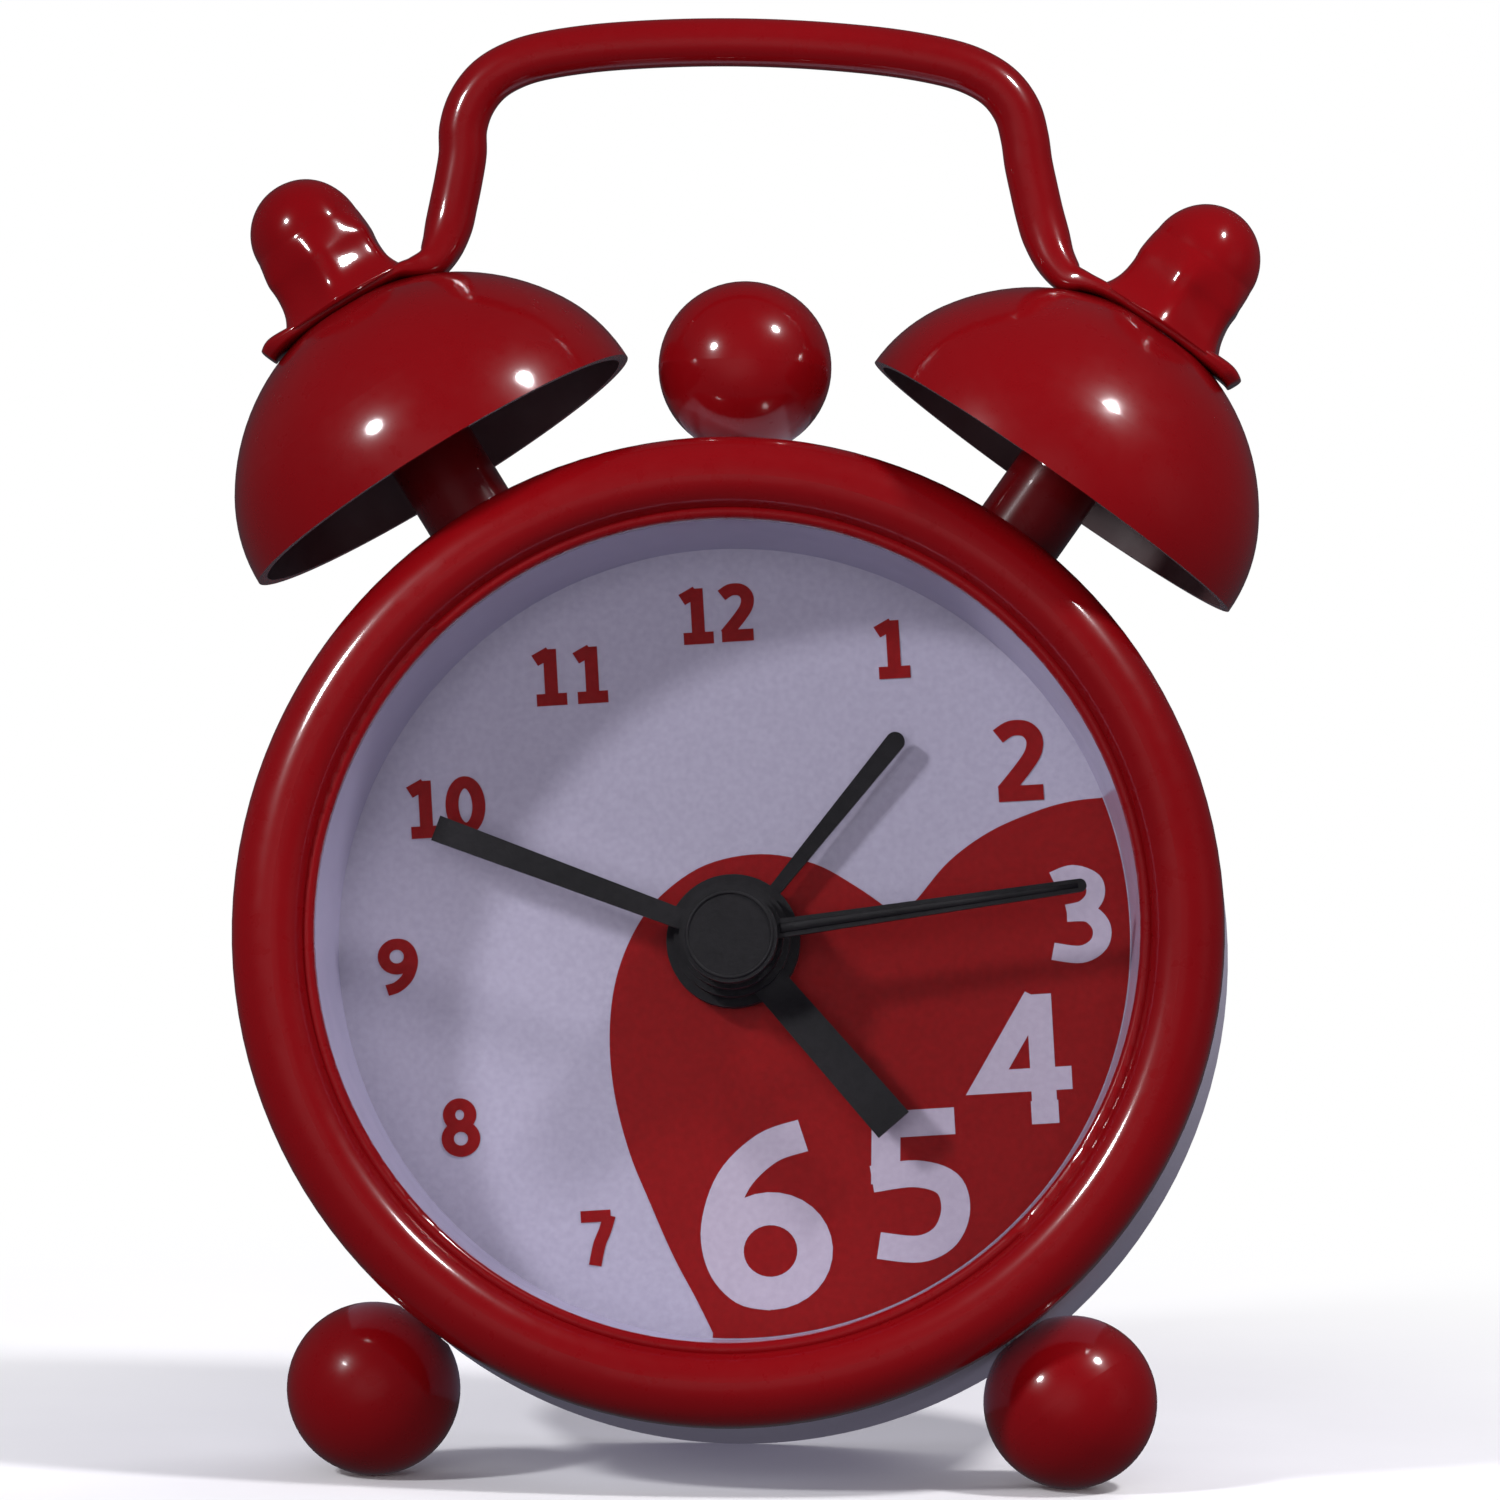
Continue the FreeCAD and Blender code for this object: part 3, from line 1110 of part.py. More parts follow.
def stand_up():
    """Lean every piece back, then put the middle of the footprint's box at the origin, on the table."""
    upright = FreeCAD.Placement(FreeCAD.Vector(0, 0, 0), FreeCAD.Rotation(FreeCAD.Vector(1, 0, 0), 90 - lean()))
    for piece, where in PIECES.values():
        piece.Placement = upright.multiply(where)
    document.recompute()
    box = FreeCAD.BoundBox()
    for piece, _ in PIECES.values():
        box.add(piece.Shape.optimalBoundingBox(False))
    shift = FreeCAD.Vector(-box.Center.x, -box.Center.y, -box.ZMin)
    stand = FreeCAD.Placement(shift, FreeCAD.Rotation()).multiply(upright)
    for piece, where in PIECES.values():
        piece.Placement = stand.multiply(where)
    document.recompute()
    return stand


def check_and_export():
    for item in document.Objects:
        if "Invalid" in item.State or "Error" in item.State:
            raise RuntimeError(f"{item.Label} failed: {item.State}")
    os.makedirs("parts", exist_ok=True)
    for label, (piece, _) in PIECES.items():
        if piece.Shape.isNull() or not piece.Shape.isValid():
            raise RuntimeError(f"{label} has no valid shape")
        piece.Shape.exportStep(f"parts/{label}.step")


def main():
    make_bezel_ring()
    make_case_sleeve()
    make_lens()
    make_slope_ring()
    make_dial()
    make_back_cover()
    make_battery_door()
    for label, angle in zip(("left", "right"), bell_angles()):
        seat, post_top = make_bell(f"bell_{label}", angle)
        make_post(f"bell_post_{label}", angle, post_top)
        make_cap_nut(f"cap_nut_{label}", angle, seat + S.tab_thickness)
    make_bell_bolts()
    make_handle(seat)
    for label, angle in zip(("top_ball", "foot_right", "foot_left"), ball_angles()):
        make_ball(label, angle)
    make_ball_screws()
    make_hands()
    make_rotor()
    make_intermediate_wheel()
    make_second_wheel()
    make_third_wheel()
    make_centre_wheel()
    make_cannon_pinion()
    make_minute_wheel()
    make_hour_wheel()
    make_alarm_wheel()
    make_alarm_setting_wheel()
    make_knob("time_set_knob", S.minute_x)
    make_knob("alarm_set_knob", S.setting_x)
    make_movement_case()
    make_front_plate()
    make_screws()
    make_motor()
    make_board()
    make_battery_cell()
    make_contacts()
    make_buzzer()
    make_alarm_switch()
    stand = stand_up()
    check_and_export()
    print(len(PIECES), "pieces; case frame at", stand.Base, "lean", lean())


main()
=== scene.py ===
import json
import math

import bmesh
import bpy
from mathutils import Matrix, Vector, noise


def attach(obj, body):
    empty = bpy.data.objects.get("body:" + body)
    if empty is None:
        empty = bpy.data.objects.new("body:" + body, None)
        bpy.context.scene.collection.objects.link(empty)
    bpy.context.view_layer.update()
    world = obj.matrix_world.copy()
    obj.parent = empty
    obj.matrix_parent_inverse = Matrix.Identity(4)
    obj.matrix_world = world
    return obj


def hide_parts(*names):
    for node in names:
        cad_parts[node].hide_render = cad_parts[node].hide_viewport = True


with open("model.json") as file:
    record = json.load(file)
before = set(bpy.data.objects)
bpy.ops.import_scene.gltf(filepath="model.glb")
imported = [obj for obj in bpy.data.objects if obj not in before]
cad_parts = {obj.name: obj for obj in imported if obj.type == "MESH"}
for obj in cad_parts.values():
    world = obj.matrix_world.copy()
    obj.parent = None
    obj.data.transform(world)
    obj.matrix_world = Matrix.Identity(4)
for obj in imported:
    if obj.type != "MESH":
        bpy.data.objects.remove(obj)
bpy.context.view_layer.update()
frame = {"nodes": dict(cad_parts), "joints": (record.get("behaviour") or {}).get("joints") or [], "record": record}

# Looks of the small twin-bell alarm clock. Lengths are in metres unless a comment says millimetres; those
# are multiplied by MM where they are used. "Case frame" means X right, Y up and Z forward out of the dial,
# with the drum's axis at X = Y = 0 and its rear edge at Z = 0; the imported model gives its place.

MM = 0.001
NODES = frame["nodes"]
JOINTS = {joint["name"]: joint for joint in frame["joints"]}


# ---------------------------------------------------------------- the case frame

def case_frame():
    """Rotation and origin that take the case frame to the row frame."""
    spin = JOINTS["second_spin"]
    forward = -Vector(spin["axis"]).normalized()
    right = Vector((1, 0, 0))
    up = forward.cross(right).normalized()
    turn = Matrix((right, up, forward)).transposed()
    pivot = Vector(spin["pos_m"])
    rear = min((v.co - pivot).dot(forward) for v in NODES["case_sleeve"].data.vertices)
    return turn, pivot + forward * rear


TURN, ORIGIN = case_frame()


def to_row(x, y, z):
    """A point of the case frame, in the row frame."""
    return TURN @ Vector((x, y, z)) + ORIGIN


def corners(node):
    """Every vertex of a CAD node, in the case frame."""
    return [TURN.transposed() @ (v.co - ORIGIN) for v in NODES[node].data.vertices]


def span(node):
    """Lowest and highest corners of a CAD node in the case frame."""
    points = corners(node)
    low = Vector(min(p[i] for p in points) for i in range(3))
    high = Vector(max(p[i] for p in points) for i in range(3))
    return low, high


def reach(node, direction):
    """How far a CAD node goes along a direction of the case frame."""
    return max(point.dot(direction) for point in corners(node))


# ---------------------------------------------------------------- materials

NOISE_LOW, NOISE_HIGH = 0.3, 0.7  # the part of a noise's range that a ramp spreads between its two ends


class Nodes:
    """A material's node tree with short ways to add to it."""

    def __init__(self, name):
        self.material = bpy.data.materials.new(name)
        self.material.use_nodes = True
        self.tree = self.material.node_tree
        self.shader = self.tree.nodes["Principled BSDF"]
        self.coords = self.tree.nodes.new("ShaderNodeTexCoord")
        self.height = None

    def link(self, source, target):
        self.tree.links.new(source, target)

    def value(self, socket, number):
        self.shader.inputs[socket].default_value = number

    def noise(self, scale, detail=4.0, stretch=(1, 1, 1)):
        mapping = self.tree.nodes.new("ShaderNodeMapping")
        mapping.inputs["Scale"].default_value = stretch
        self.link(self.coords.outputs["Object"], mapping.inputs["Vector"])
        texture = self.tree.nodes.new("ShaderNodeTexNoise")
        texture.inputs["Scale"].default_value = scale
        texture.inputs["Detail"].default_value = detail
        self.link(mapping.outputs["Vector"], texture.inputs["Vector"])
        return texture.outputs["Fac"]

    def ramp(self, source, stops):
        ramp = self.tree.nodes.new("ShaderNodeValToRGB")
        for number, (place, colour) in enumerate(stops):
            stop = ramp.color_ramp.elements[number] if number < 2 else ramp.color_ramp.elements.new(place)
            stop.position = place
            stop.color = (*colour, 1.0)
        self.link(source, ramp.inputs["Fac"])
        return ramp.outputs["Color"]

    def grey(self, source, low, high, start=NOISE_LOW, end=NOISE_HIGH):
        return self.ramp(source, [(start, (low,) * 3), (end, (high,) * 3)])

    def colour(self, dark, light, scale, detail, end=NOISE_HIGH):
        """Base colour that drifts between two tones."""
        drift = self.ramp(self.noise(scale, detail), [(NOISE_LOW, dark), (end, light)])
        self.link(drift, self.shader.inputs["Base Color"])

    def roughness(self, source, middle, spread):
        """Roughness that varies by a share of its middle value."""
        varied = self.grey(source, middle * (1 - spread), middle * (1 + spread))
        self.link(varied, self.shader.inputs["Roughness"])

    def bump(self, source, strength, distance):
        bump = self.tree.nodes.new("ShaderNodeBump")
        bump.inputs["Strength"].default_value = strength
        bump.inputs["Distance"].default_value = distance
        self.link(source, bump.inputs["Height"])
        if self.height is not None:
            self.link(self.height, bump.inputs["Normal"])
        self.height = bump.outputs["Normal"]
        self.link(self.height, self.shader.inputs["Normal"])


def lacquer(name, dark, light, roughness, speckle=0.0, coat=1.0, coat_roughness=0.06):
    """Sprayed gloss lacquer: slow colour drift, orange peel and fine dust."""
    made = Nodes(name)
    made.colour(dark, light, scale=38.0, detail=2.0, end=0.72)
    made.roughness(made.noise(scale=900.0, detail=5.0), roughness, spread=0.15)
    made.bump(made.noise(scale=300.0, detail=1.0), strength=0.12, distance=0.012 * MM)
    made.value("Specular IOR Level", 0.12)
    if speckle:
        dust = made.grey(made.noise(scale=4200.0, detail=2.0), low=0.0, high=1.0, start=0.58, end=0.74)
        made.bump(dust, strength=speckle, distance=0.04 * MM)
    made.value("Coat Weight", coat)
    made.value("Coat Roughness", coat_roughness)
    return made.material


def moulded(name, dark, light, roughness, grain=0.25, scale=1800.0, specular=0.5):
    """Moulded plastic: fine spark-eroded grain with slow colour drift."""
    made = Nodes(name)
    made.colour(dark, light, scale=140.0, detail=4.0)
    made.roughness(made.noise(scale * 0.6, detail=4.0), roughness, spread=0.15)
    made.bump(made.noise(scale, detail=3.0), strength=grain, distance=0.06 * MM)
    made.value("Specular IOR Level", specular)
    return made.material


def metal(name, dark, light, roughness, stretch=(1, 1, 1), scale=1500.0):
    """Plain metal with drawn or turned marks."""
    made = Nodes(name)
    made.value("Metallic", 0.6)
    made.colour(dark, light, scale=160.0, detail=5.0)
    made.roughness(made.noise(scale, 6.0, stretch), roughness, spread=0.3)
    made.bump(made.noise(scale, 4.0, stretch), strength=0.15, distance=0.03 * MM)
    return made.material


def printed(name, dark, light):
    """Screen-printed ink or card: faint dots and fibres."""
    made = Nodes(name)
    made.colour(dark, light, scale=2600.0, detail=3.0)
    dots = made.grey(made.noise(scale=3000.0, detail=2.0), low=0.42, high=0.55)
    made.link(dots, made.shader.inputs["Roughness"])
    made.value("Specular IOR Level", 0.12)
    made.bump(made.noise(scale=3600.0, detail=3.0), strength=0.18, distance=0.02 * MM)
    return made.material


def clear_plastic(name):
    """Lens: nearly nothing but its reflections, with a faint haze."""
    made = Nodes(name)
    made.value("Base Color", (0.05, 0.05, 0.055, 1.0))
    made.value("Alpha", 0.012)
    haze = made.grey(made.noise(scale=60.0, detail=3.0), low=0.03, high=0.07)
    made.link(haze, made.shader.inputs["Roughness"])
    made.material.surface_render_method = "BLENDED"
    return made.material


# each look has its darker and its lighter tone
RED = lacquer("red_lacquer", (0.156, 0.0010, 0.0024), (0.204, 0.0017, 0.0036), roughness=0.30,
              coat_roughness=0.10)
RED_THICK = lacquer("red_lacquer_thick", (0.156, 0.0009, 0.0024), (0.222, 0.0019, 0.0038), roughness=0.22)
# darker copy of the red lacquer for the bell posts: painted shade, as the posts sit in the bells' shadow
SHADED_POST_RED = lacquer("red_lacquer_painted_shade", (0.060, 0.0006, 0.0014), (0.085, 0.0010, 0.0020), roughness=0.30,
                   coat_roughness=0.10)
WHITE = lacquer("white_lacquer", (0.63, 0.60, 0.73), (0.69, 0.66, 0.79), roughness=0.34, speckle=0.5,
                coat=0.5, coat_roughness=0.12)
# inside of the bells: a rough dark red drifting to grey; how much darker it is than the outside lacquer is painted
# shade
BELL_INSIDE_SHADED = moulded("bell_inside_painted_shade", (0.034, 0.003, 0.004), (0.060, 0.034, 0.036), roughness=0.6, grain=0.6,
                      scale=500.0)
WHITE_PLASTIC = moulded("white_plastic", (0.46, 0.44, 0.54), (0.52, 0.50, 0.60), roughness=0.38, grain=0.12)
SLOPE_WHITE = moulded("slope_white", (0.37, 0.345, 0.485), (0.41, 0.38, 0.525), roughness=0.22, grain=0.05,
                      scale=900.0)
BLACK = moulded("black_hands", (0.0035, 0.0032, 0.0042), (0.008, 0.0072, 0.009), roughness=0.66, grain=0.5,
                scale=2400.0, specular=0.35)
BLACK_PLASTIC = moulded("black_plastic", (0.014, 0.014, 0.015), (0.026, 0.026, 0.028), roughness=0.5,
                        grain=0.35)
NATURAL = moulded("natural_plastic", (0.62, 0.59, 0.50), (0.72, 0.69, 0.60), roughness=0.4)
BOARD = moulded("board_green", (0.02, 0.13, 0.05), (0.04, 0.2, 0.08), roughness=0.35)
DIAL_WHITE = printed("dial_white", (0.325, 0.304, 0.396), (0.365, 0.342, 0.44))
DIAL_RED = printed("dial_red", (0.172, 0.0012, 0.0020), (0.210, 0.0022, 0.0034))
DIAL_PALE = printed("dial_pale", (0.37, 0.325, 0.41), (0.41, 0.36, 0.45))
CLEAR = clear_plastic("clear_lens")
STEEL = metal("steel", (0.42, 0.42, 0.44), (0.62, 0.62, 0.64), roughness=0.3)
BRASS = metal("brass", (0.52, 0.36, 0.14), (0.72, 0.54, 0.25), roughness=0.3)
COPPER = metal("copper_winding", (0.42, 0.13, 0.04), (0.66, 0.27, 0.10), roughness=0.35, stretch=(1, 40, 40),
               scale=800.0)

SLOT_LOOKS = {
    "red_lacquer": RED, "white_lacquer": WHITE, "white_plastic": WHITE_PLASTIC, "dial_print": DIAL_WHITE,
    "clear_lens": CLEAR, "black_hands": BLACK, "black_plastic": BLACK_PLASTIC, "natural_plastic": NATURAL,
    "steel": STEEL, "brass": BRASS, "copper_winding": COPPER, "board_green": BOARD,
}
# width of the softened edges on each material, in millimetres
EDGE_WIDTHS = {
    "black_hands": 0.09, "white_plastic": 0.12, "black_plastic": 0.12, "steel": 0.08, "white_lacquer": 0.0,
    "red_lacquer": 0.0, "clear_lens": 0.0, "dial_print": 0.0, "natural_plastic": 0.0, "brass": 0.04,
    "copper_winding": 0.1, "board_green": 0.05,
}
EDGE_SEGMENTS = 3
SHARP_EDGE = math.radians(40)


def soften_edges(piece, width):
    """Rounded edges, as a modifier, so that the CAD mesh itself stays as it is."""
    bevel = piece.modifiers.new("soft_edges", "BEVEL")
    bevel.width = width
    bevel.segments = EDGE_SEGMENTS
    bevel.limit_method = "ANGLE"
    bevel.angle_limit = SHARP_EDGE
    bevel.harden_normals = True


def dress_nodes():
    """Give every CAD piece the look of its material slot."""
    for part in frame["record"]["subparts"]:
        piece = NODES[part["node"]]
        piece.data.materials.clear()
        piece.data.materials.append(SLOT_LOOKS[part["material_slot"]])
        width = EDGE_WIDTHS[part["material_slot"]]
        if width:
            soften_edges(piece, width * MM)
    NODES["slope_ring"].data.materials[0] = SLOPE_WHITE
    # the posts take the darker copy of the red lacquer, which is painted shade
    for side in ("left", "right"):
        NODES[f"bell_post_{side}"].data.materials[0] = SHADED_POST_RED


# ---------------------------------------------------------------- mesh helpers

def finish_mesh(name, vertices, faces, look, body, slot, smooth=True):
    mesh = bpy.data.meshes.new(name)
    mesh.from_pydata([tuple(v) for v in vertices], [], faces)
    mesh.validate()
    work = bmesh.new()
    work.from_mesh(mesh)
    bmesh.ops.recalc_face_normals(work, faces=work.faces)
    work.to_mesh(mesh)
    work.free()
    piece = bpy.data.objects.new(name, mesh)
    bpy.context.scene.collection.objects.link(piece)
    mesh.materials.append(look)
    for face in mesh.polygons:
        face.use_smooth = smooth
    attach(piece, body)
    return piece


def loft(rings, closed_ends=True):
    """Vertices and faces of a skin over rings that have the same number of points each."""
    count = len(rings[0])
    vertices = [point for ring in rings for point in ring]
    faces = []
    for row in range(len(rings) - 1):
        for column in range(count):
            following = (column + 1) % count
            faces.append((row * count + column, row * count + following,
                          (row + 1) * count + following, (row + 1) * count + column))
    if closed_ends:
        faces.append(tuple(range(count)))
        faces.append(tuple((len(rings) - 1) * count + k for k in range(count)))
    return vertices, faces


def smooth_line(points, steps):
    """Catmull-Rom samples through points of any number of coordinates."""
    padded = [points[0]] + list(points) + [points[-1]]
    samples = []
    for number in range(1, len(padded) - 2):
        a, b, c, d = padded[number - 1:number + 3]
        for step in range(steps):
            t = step / steps
            samples.append(tuple(
                0.5 * (2 * b[i] + (c[i] - a[i]) * t + (2 * a[i] - 5 * b[i] + 4 * c[i] - d[i]) * t * t
                       + (3 * b[i] - a[i] - 3 * c[i] + d[i]) * t ** 3) for i in range(len(b))))
    samples.append(tuple(points[-1]))
    return samples


# ---------------------------------------------------------------- dial print

DIAL_FRONT = span("dial")[1].z
DIAL_EDGE = 22.85
INK = 0.03 * MM  # how far the ink stands above the card
INK_STEP = 0.006 * MM  # and each stroke of a number above the one before
PRINT_TURN = math.radians(4.5)
CURVE_STEPS = 6
OVAL_STEPS = 32
RIM_STEPS = 60
SAME_POINT = 1e-6
MITRE_LIMIT = 0.45  # keeps the corner of a sharp turn from running out too far
FIGURE_PITCH = 0.70  # pitch and height of the figures, as shares of a number's height
FIGURE_HEIGHT = 0.93


def print_piece(name, strips, look, lift):
    """Flat print on the dial, in strips between two edges, each a little above the one before."""
    vertices, faces = [], []
    for number, (left, right) in enumerate(strips):
        base = len(vertices)
        height = DIAL_FRONT + lift + number * INK_STEP
        for (x0, y0), (x1, y1) in zip(left, right):
            vertices += [to_row(x0 * MM, y0 * MM, height), to_row(x1 * MM, y1 * MM, height)]
        for first in range(base, len(vertices) - 2, 2):
            faces.append((first, first + 1, first + 3, first + 2))
    return finish_mesh(name, vertices, faces, look, "clock", "dial_print", smooth=False)


def pen_stroke(points, width):
    """Edges of a pen stroke with mitred corners; a stroke that ends where it starts is a loop."""
    half = width / 2
    closed = math.dist(points[0], points[-1]) < SAME_POINT
    middle = points[:-1] if closed else points
    count = len(middle)
    left, right = [], []
    for number, (x, y) in enumerate(middle):
        before = middle[number - 1] if closed or number else None
        after = middle[(number + 1) % count] if closed or number < count - 1 else None
        runs = [Vector((x - before[0], y - before[1])).normalized()] if before else []
        runs += [Vector((after[0] - x, after[1] - y)).normalized()] if after else []
        along = sum(runs, Vector((0, 0))).normalized()
        across = Vector((-along.y, along.x))
        wide = half / max(MITRE_LIMIT, Vector((-runs[0].y, runs[0].x)).dot(across))
        left.append((x + across.x * wide, y + across.y * wide))
        right.append((x - across.x * wide, y - across.y * wide))
    if closed:
        left.append(left[0])
        right.append(right[0])
    return left, right


def oval(cx, cy, rx, ry):
    """Closed oval that starts and ends at its top."""
    turns = [2 * math.pi * k / OVAL_STEPS for k in range(OVAL_STEPS + 1)]
    return [(cx + rx * math.sin(a), cy + ry * math.cos(a)) for a in turns]


# pen strokes of each figure in a box one unit high; True marks a smooth curve, False straight lines
FIGURES = {
    "0": [(oval(0, 0.5, 0.225, 0.42), False)],
    "1": [([(-0.23, 0.79), (0.03, 0.93)], False), ([(0.03, 0.99), (0.03, 0.05)], False),
          ([(-0.23, 0.06), (0.29, 0.06)], False)],
    "2": [([(-0.24, 0.83), (-0.08, 0.925), (0.1, 0.91), (0.2, 0.78), (0.18, 0.6), (0.05, 0.4), (-0.2, 0.1)],
           True), ([(-0.27, 0.07), (0.28, 0.07)], False)],
    "3": [([(-0.22, 0.87), (-0.02, 0.93), (0.17, 0.84), (0.19, 0.68), (0.08, 0.55), (-0.1, 0.51)], True),
          ([(-0.1, 0.51), (0.12, 0.49), (0.235, 0.34), (0.2, 0.16), (0.02, 0.06), (-0.26, 0.11)], True)],
    "4": [([(0.1, 0.96), (-0.29, 0.31), (0.33, 0.31)], False), ([(0.12, 0.98), (0.12, 0.05)], False),
          ([(0.02, 0.05), (0.22, 0.05)], False)],
    "5": [([(0.27, 0.93), (-0.17, 0.93), (-0.195, 0.52)], False),
          ([(-0.28, 0.56), (0.0, 0.58), (0.2, 0.5), (0.245, 0.32), (0.17, 0.14), (0.0, 0.06), (-0.26, 0.1)],
           True)],
    "6": [([(0.22, 0.93), (0.03, 0.87), (-0.15, 0.7), (-0.24, 0.45), (-0.22, 0.24), (-0.12, 0.1),
            (0.02, 0.06)], True), (oval(0.02, 0.3, 0.23, 0.235), False)],
    "7": [([(-0.27, 0.93), (0.24, 0.93)], False),
          ([(0.22, 0.93), (0.13, 0.66), (0.02, 0.4), (-0.07, 0.03)], True)],
    "8": [(oval(0, 0.725, 0.18, 0.2), False), (oval(0, 0.29, 0.225, 0.23), False)],
    "9": [([(-0.22, 0.07), (-0.03, 0.13), (0.15, 0.3), (0.24, 0.55), (0.22, 0.76), (0.12, 0.9),
            (-0.02, 0.94)], True), (oval(-0.02, 0.7, 0.23, 0.235), False)],
}
# each number: its middle in the case frame and its height in millimetres, and its pen's share of the height
NUMBERS = {
    "12": (-1.5, 19.1, 3.35, 0.225), "1": (8.7, 17.3, 3.5, 0.22), "2": (16.2, 10.9, 4.75, 0.205),
    "3": (19.75, 2.1, 5.8, 0.185), "4": (16.95, -6.2, 7.9, 0.182), "5": (10.8, -13.8, 9.0, 0.185),
    "6": (2.1, -15.7, 11.2, 0.182), "7": (-7.5, -17.3, 3.4, 0.215), "8": (-15.6, -10.95, 3.4, 0.21),
    "9": (-19.4, -1.75, 3.3, 0.21), "10": (-16.95, 7.6, 3.45, 0.22), "11": (-9.9, 15.4, 3.4, 0.225),
}
PALE_NUMBERS = ("3", "4", "5", "6")


def number_strips(label):
    """Strips of every pen stroke of a number, in its place on the dial."""
    x, y, height, pen = NUMBERS[label]
    turn = Matrix.Rotation(PRINT_TURN, 2)
    strips = []
    for place, figure in enumerate(label):
        shift = (place - (len(label) - 1) / 2) * FIGURE_PITCH
        for points, curved in FIGURES[figure]:
            edges = pen_stroke(smooth_line(points, CURVE_STEPS) if curved else points, pen)
            strips.append([[Vector((x, y)) + turn @ Vector((px + shift, (py - 0.5) * FIGURE_HEIGHT)) * height
                            for px, py in edge] for edge in edges])
    return strips


# plain heart that the dial's edge cuts off: its free outline from the bottom up and over to the right
HEART = [
    (-0.4, -23.2), (-1.7, -20.7), (-3.1, -18.2), (-4.5, -15.2), (-5.8, -12.2), (-6.75, -8.8), (-7.1, -5.4),
    (-6.8, -2.2), (-5.8, 0.6), (-4.3, 2.7), (-1.8, 4.5), (1.4, 5.2), (4.5, 4.7), (7.0, 3.4), (9.0, 2.05),
]
HEART_RIGHT = [(9.7, 1.9), (10.6, 2.9), (12.3, 5.0), (14.6, 6.75), (17.3, 8.0), (19.3, 8.6), (21.2, 8.85)]
HEART_MIDDLE = (8.5, -6.5)


def heart_outline():
    """Closed outline of the heart: its free edge, then the dial's edge back to the start."""
    free = smooth_line(HEART, CURVE_STEPS) + smooth_line(HEART_RIGHT, CURVE_STEPS)
    free = [p for p in free if math.hypot(*p) <= DIAL_EDGE]
    start = math.atan2(free[-1][1], free[-1][0])
    end = math.atan2(free[0][1], free[0][0])
    turns = [start + (end - start) * k / RIM_STEPS for k in range(RIM_STEPS + 1)]
    return free + [(DIAL_EDGE * math.cos(a), DIAL_EDGE * math.sin(a)) for a in turns]


def make_dial_print():
    """The heart, as a fan around its middle, and the twelve numbers over it."""
    outline = heart_outline()
    outline.append(outline[0])
    print_piece("heart_print", [(outline, [HEART_MIDDLE] * len(outline))], DIAL_RED, INK)
    for label in NUMBERS:
        look = DIAL_PALE if label in PALE_NUMBERS else DIAL_RED
        print_piece(f"number_{label}", number_strips(label), look, 2 * INK)


# ---------------------------------------------------------------- nuts and handle

def bell_axis(node):
    """Direction and side direction of a bell in the case frame, from its cap nut."""
    low, high = span(f"cap_nut_{node}")
    middle = (low + high) / 2
    out = Vector((middle.x, middle.y, 0)).normalized()
    side = Vector((out.y, -out.x, 0)) * (1 if middle.x > 0 else -1)
    return out, side, middle.z


TAB = 0.8 * MM
NUT_AROUND, NUT_ROWS = 96, 64
NUT_CROWDING = 1.35  # rows of points crowd towards the top of the dome
# heights on a nut are shares of its whole height, radii are in millimetres
HEX_TOP, HEX_FADE = 0.60, 0.22
HEX_FLAT, HEX_CORNER = 3.42, 3.74
DOME_START, DOME_RADIUS, DOME_ROUNDNESS = 0.56, 3.22, 2.15
FOOT_TOP, FOOT_FLOW = 0.22, 0.75
WAIST, WAIST_HEIGHT, WAIST_WIDTH = -0.12, 0.30, 0.1
RUN_ALONG, RUN_AROUND, RUN_PITCH = 260, 1.35, 1.4  # how closely the runs of lacquer follow each other
RUN_DEPTH, RUN_FADE = 0.15, 0.75
NUT_TIP = 0.02
NUT_SMOOTHING = 6


def clamp(value):
    return max(0.0, min(1.0, value))


def nut_radius(h, a, run):
    """Radius of a lacquered nut in millimetres, at a share h of its height and an angle a around it."""
    dome = max(0.0, (h - DOME_START) / (1 - DOME_START))
    if dome >= 1.0:
        return NUT_TIP
    round_part = DOME_RADIUS * math.sqrt(max(0.0, 1 - dome ** DOME_ROUNDNESS))
    from_flat = (a + math.pi / 6) % (math.pi / 3) - math.pi / 6
    hex_part = min(HEX_FLAT / math.cos(from_flat), HEX_CORNER) if h < DOME_START else round_part
    hexness = clamp((HEX_TOP - h) / HEX_FADE)
    wide = (1 - hexness) * round_part + hexness * hex_part
    lump = noise.noise(run) * RUN_DEPTH * (1 - dome * RUN_FADE)
    waist = WAIST * math.exp(-((h - WAIST_HEIGHT) / WAIST_WIDTH) ** 2)
    foot = max(0.0, FOOT_TOP - h) / FOOT_TOP
    return wide + lump + waist + FOOT_FLOW * foot ** 2


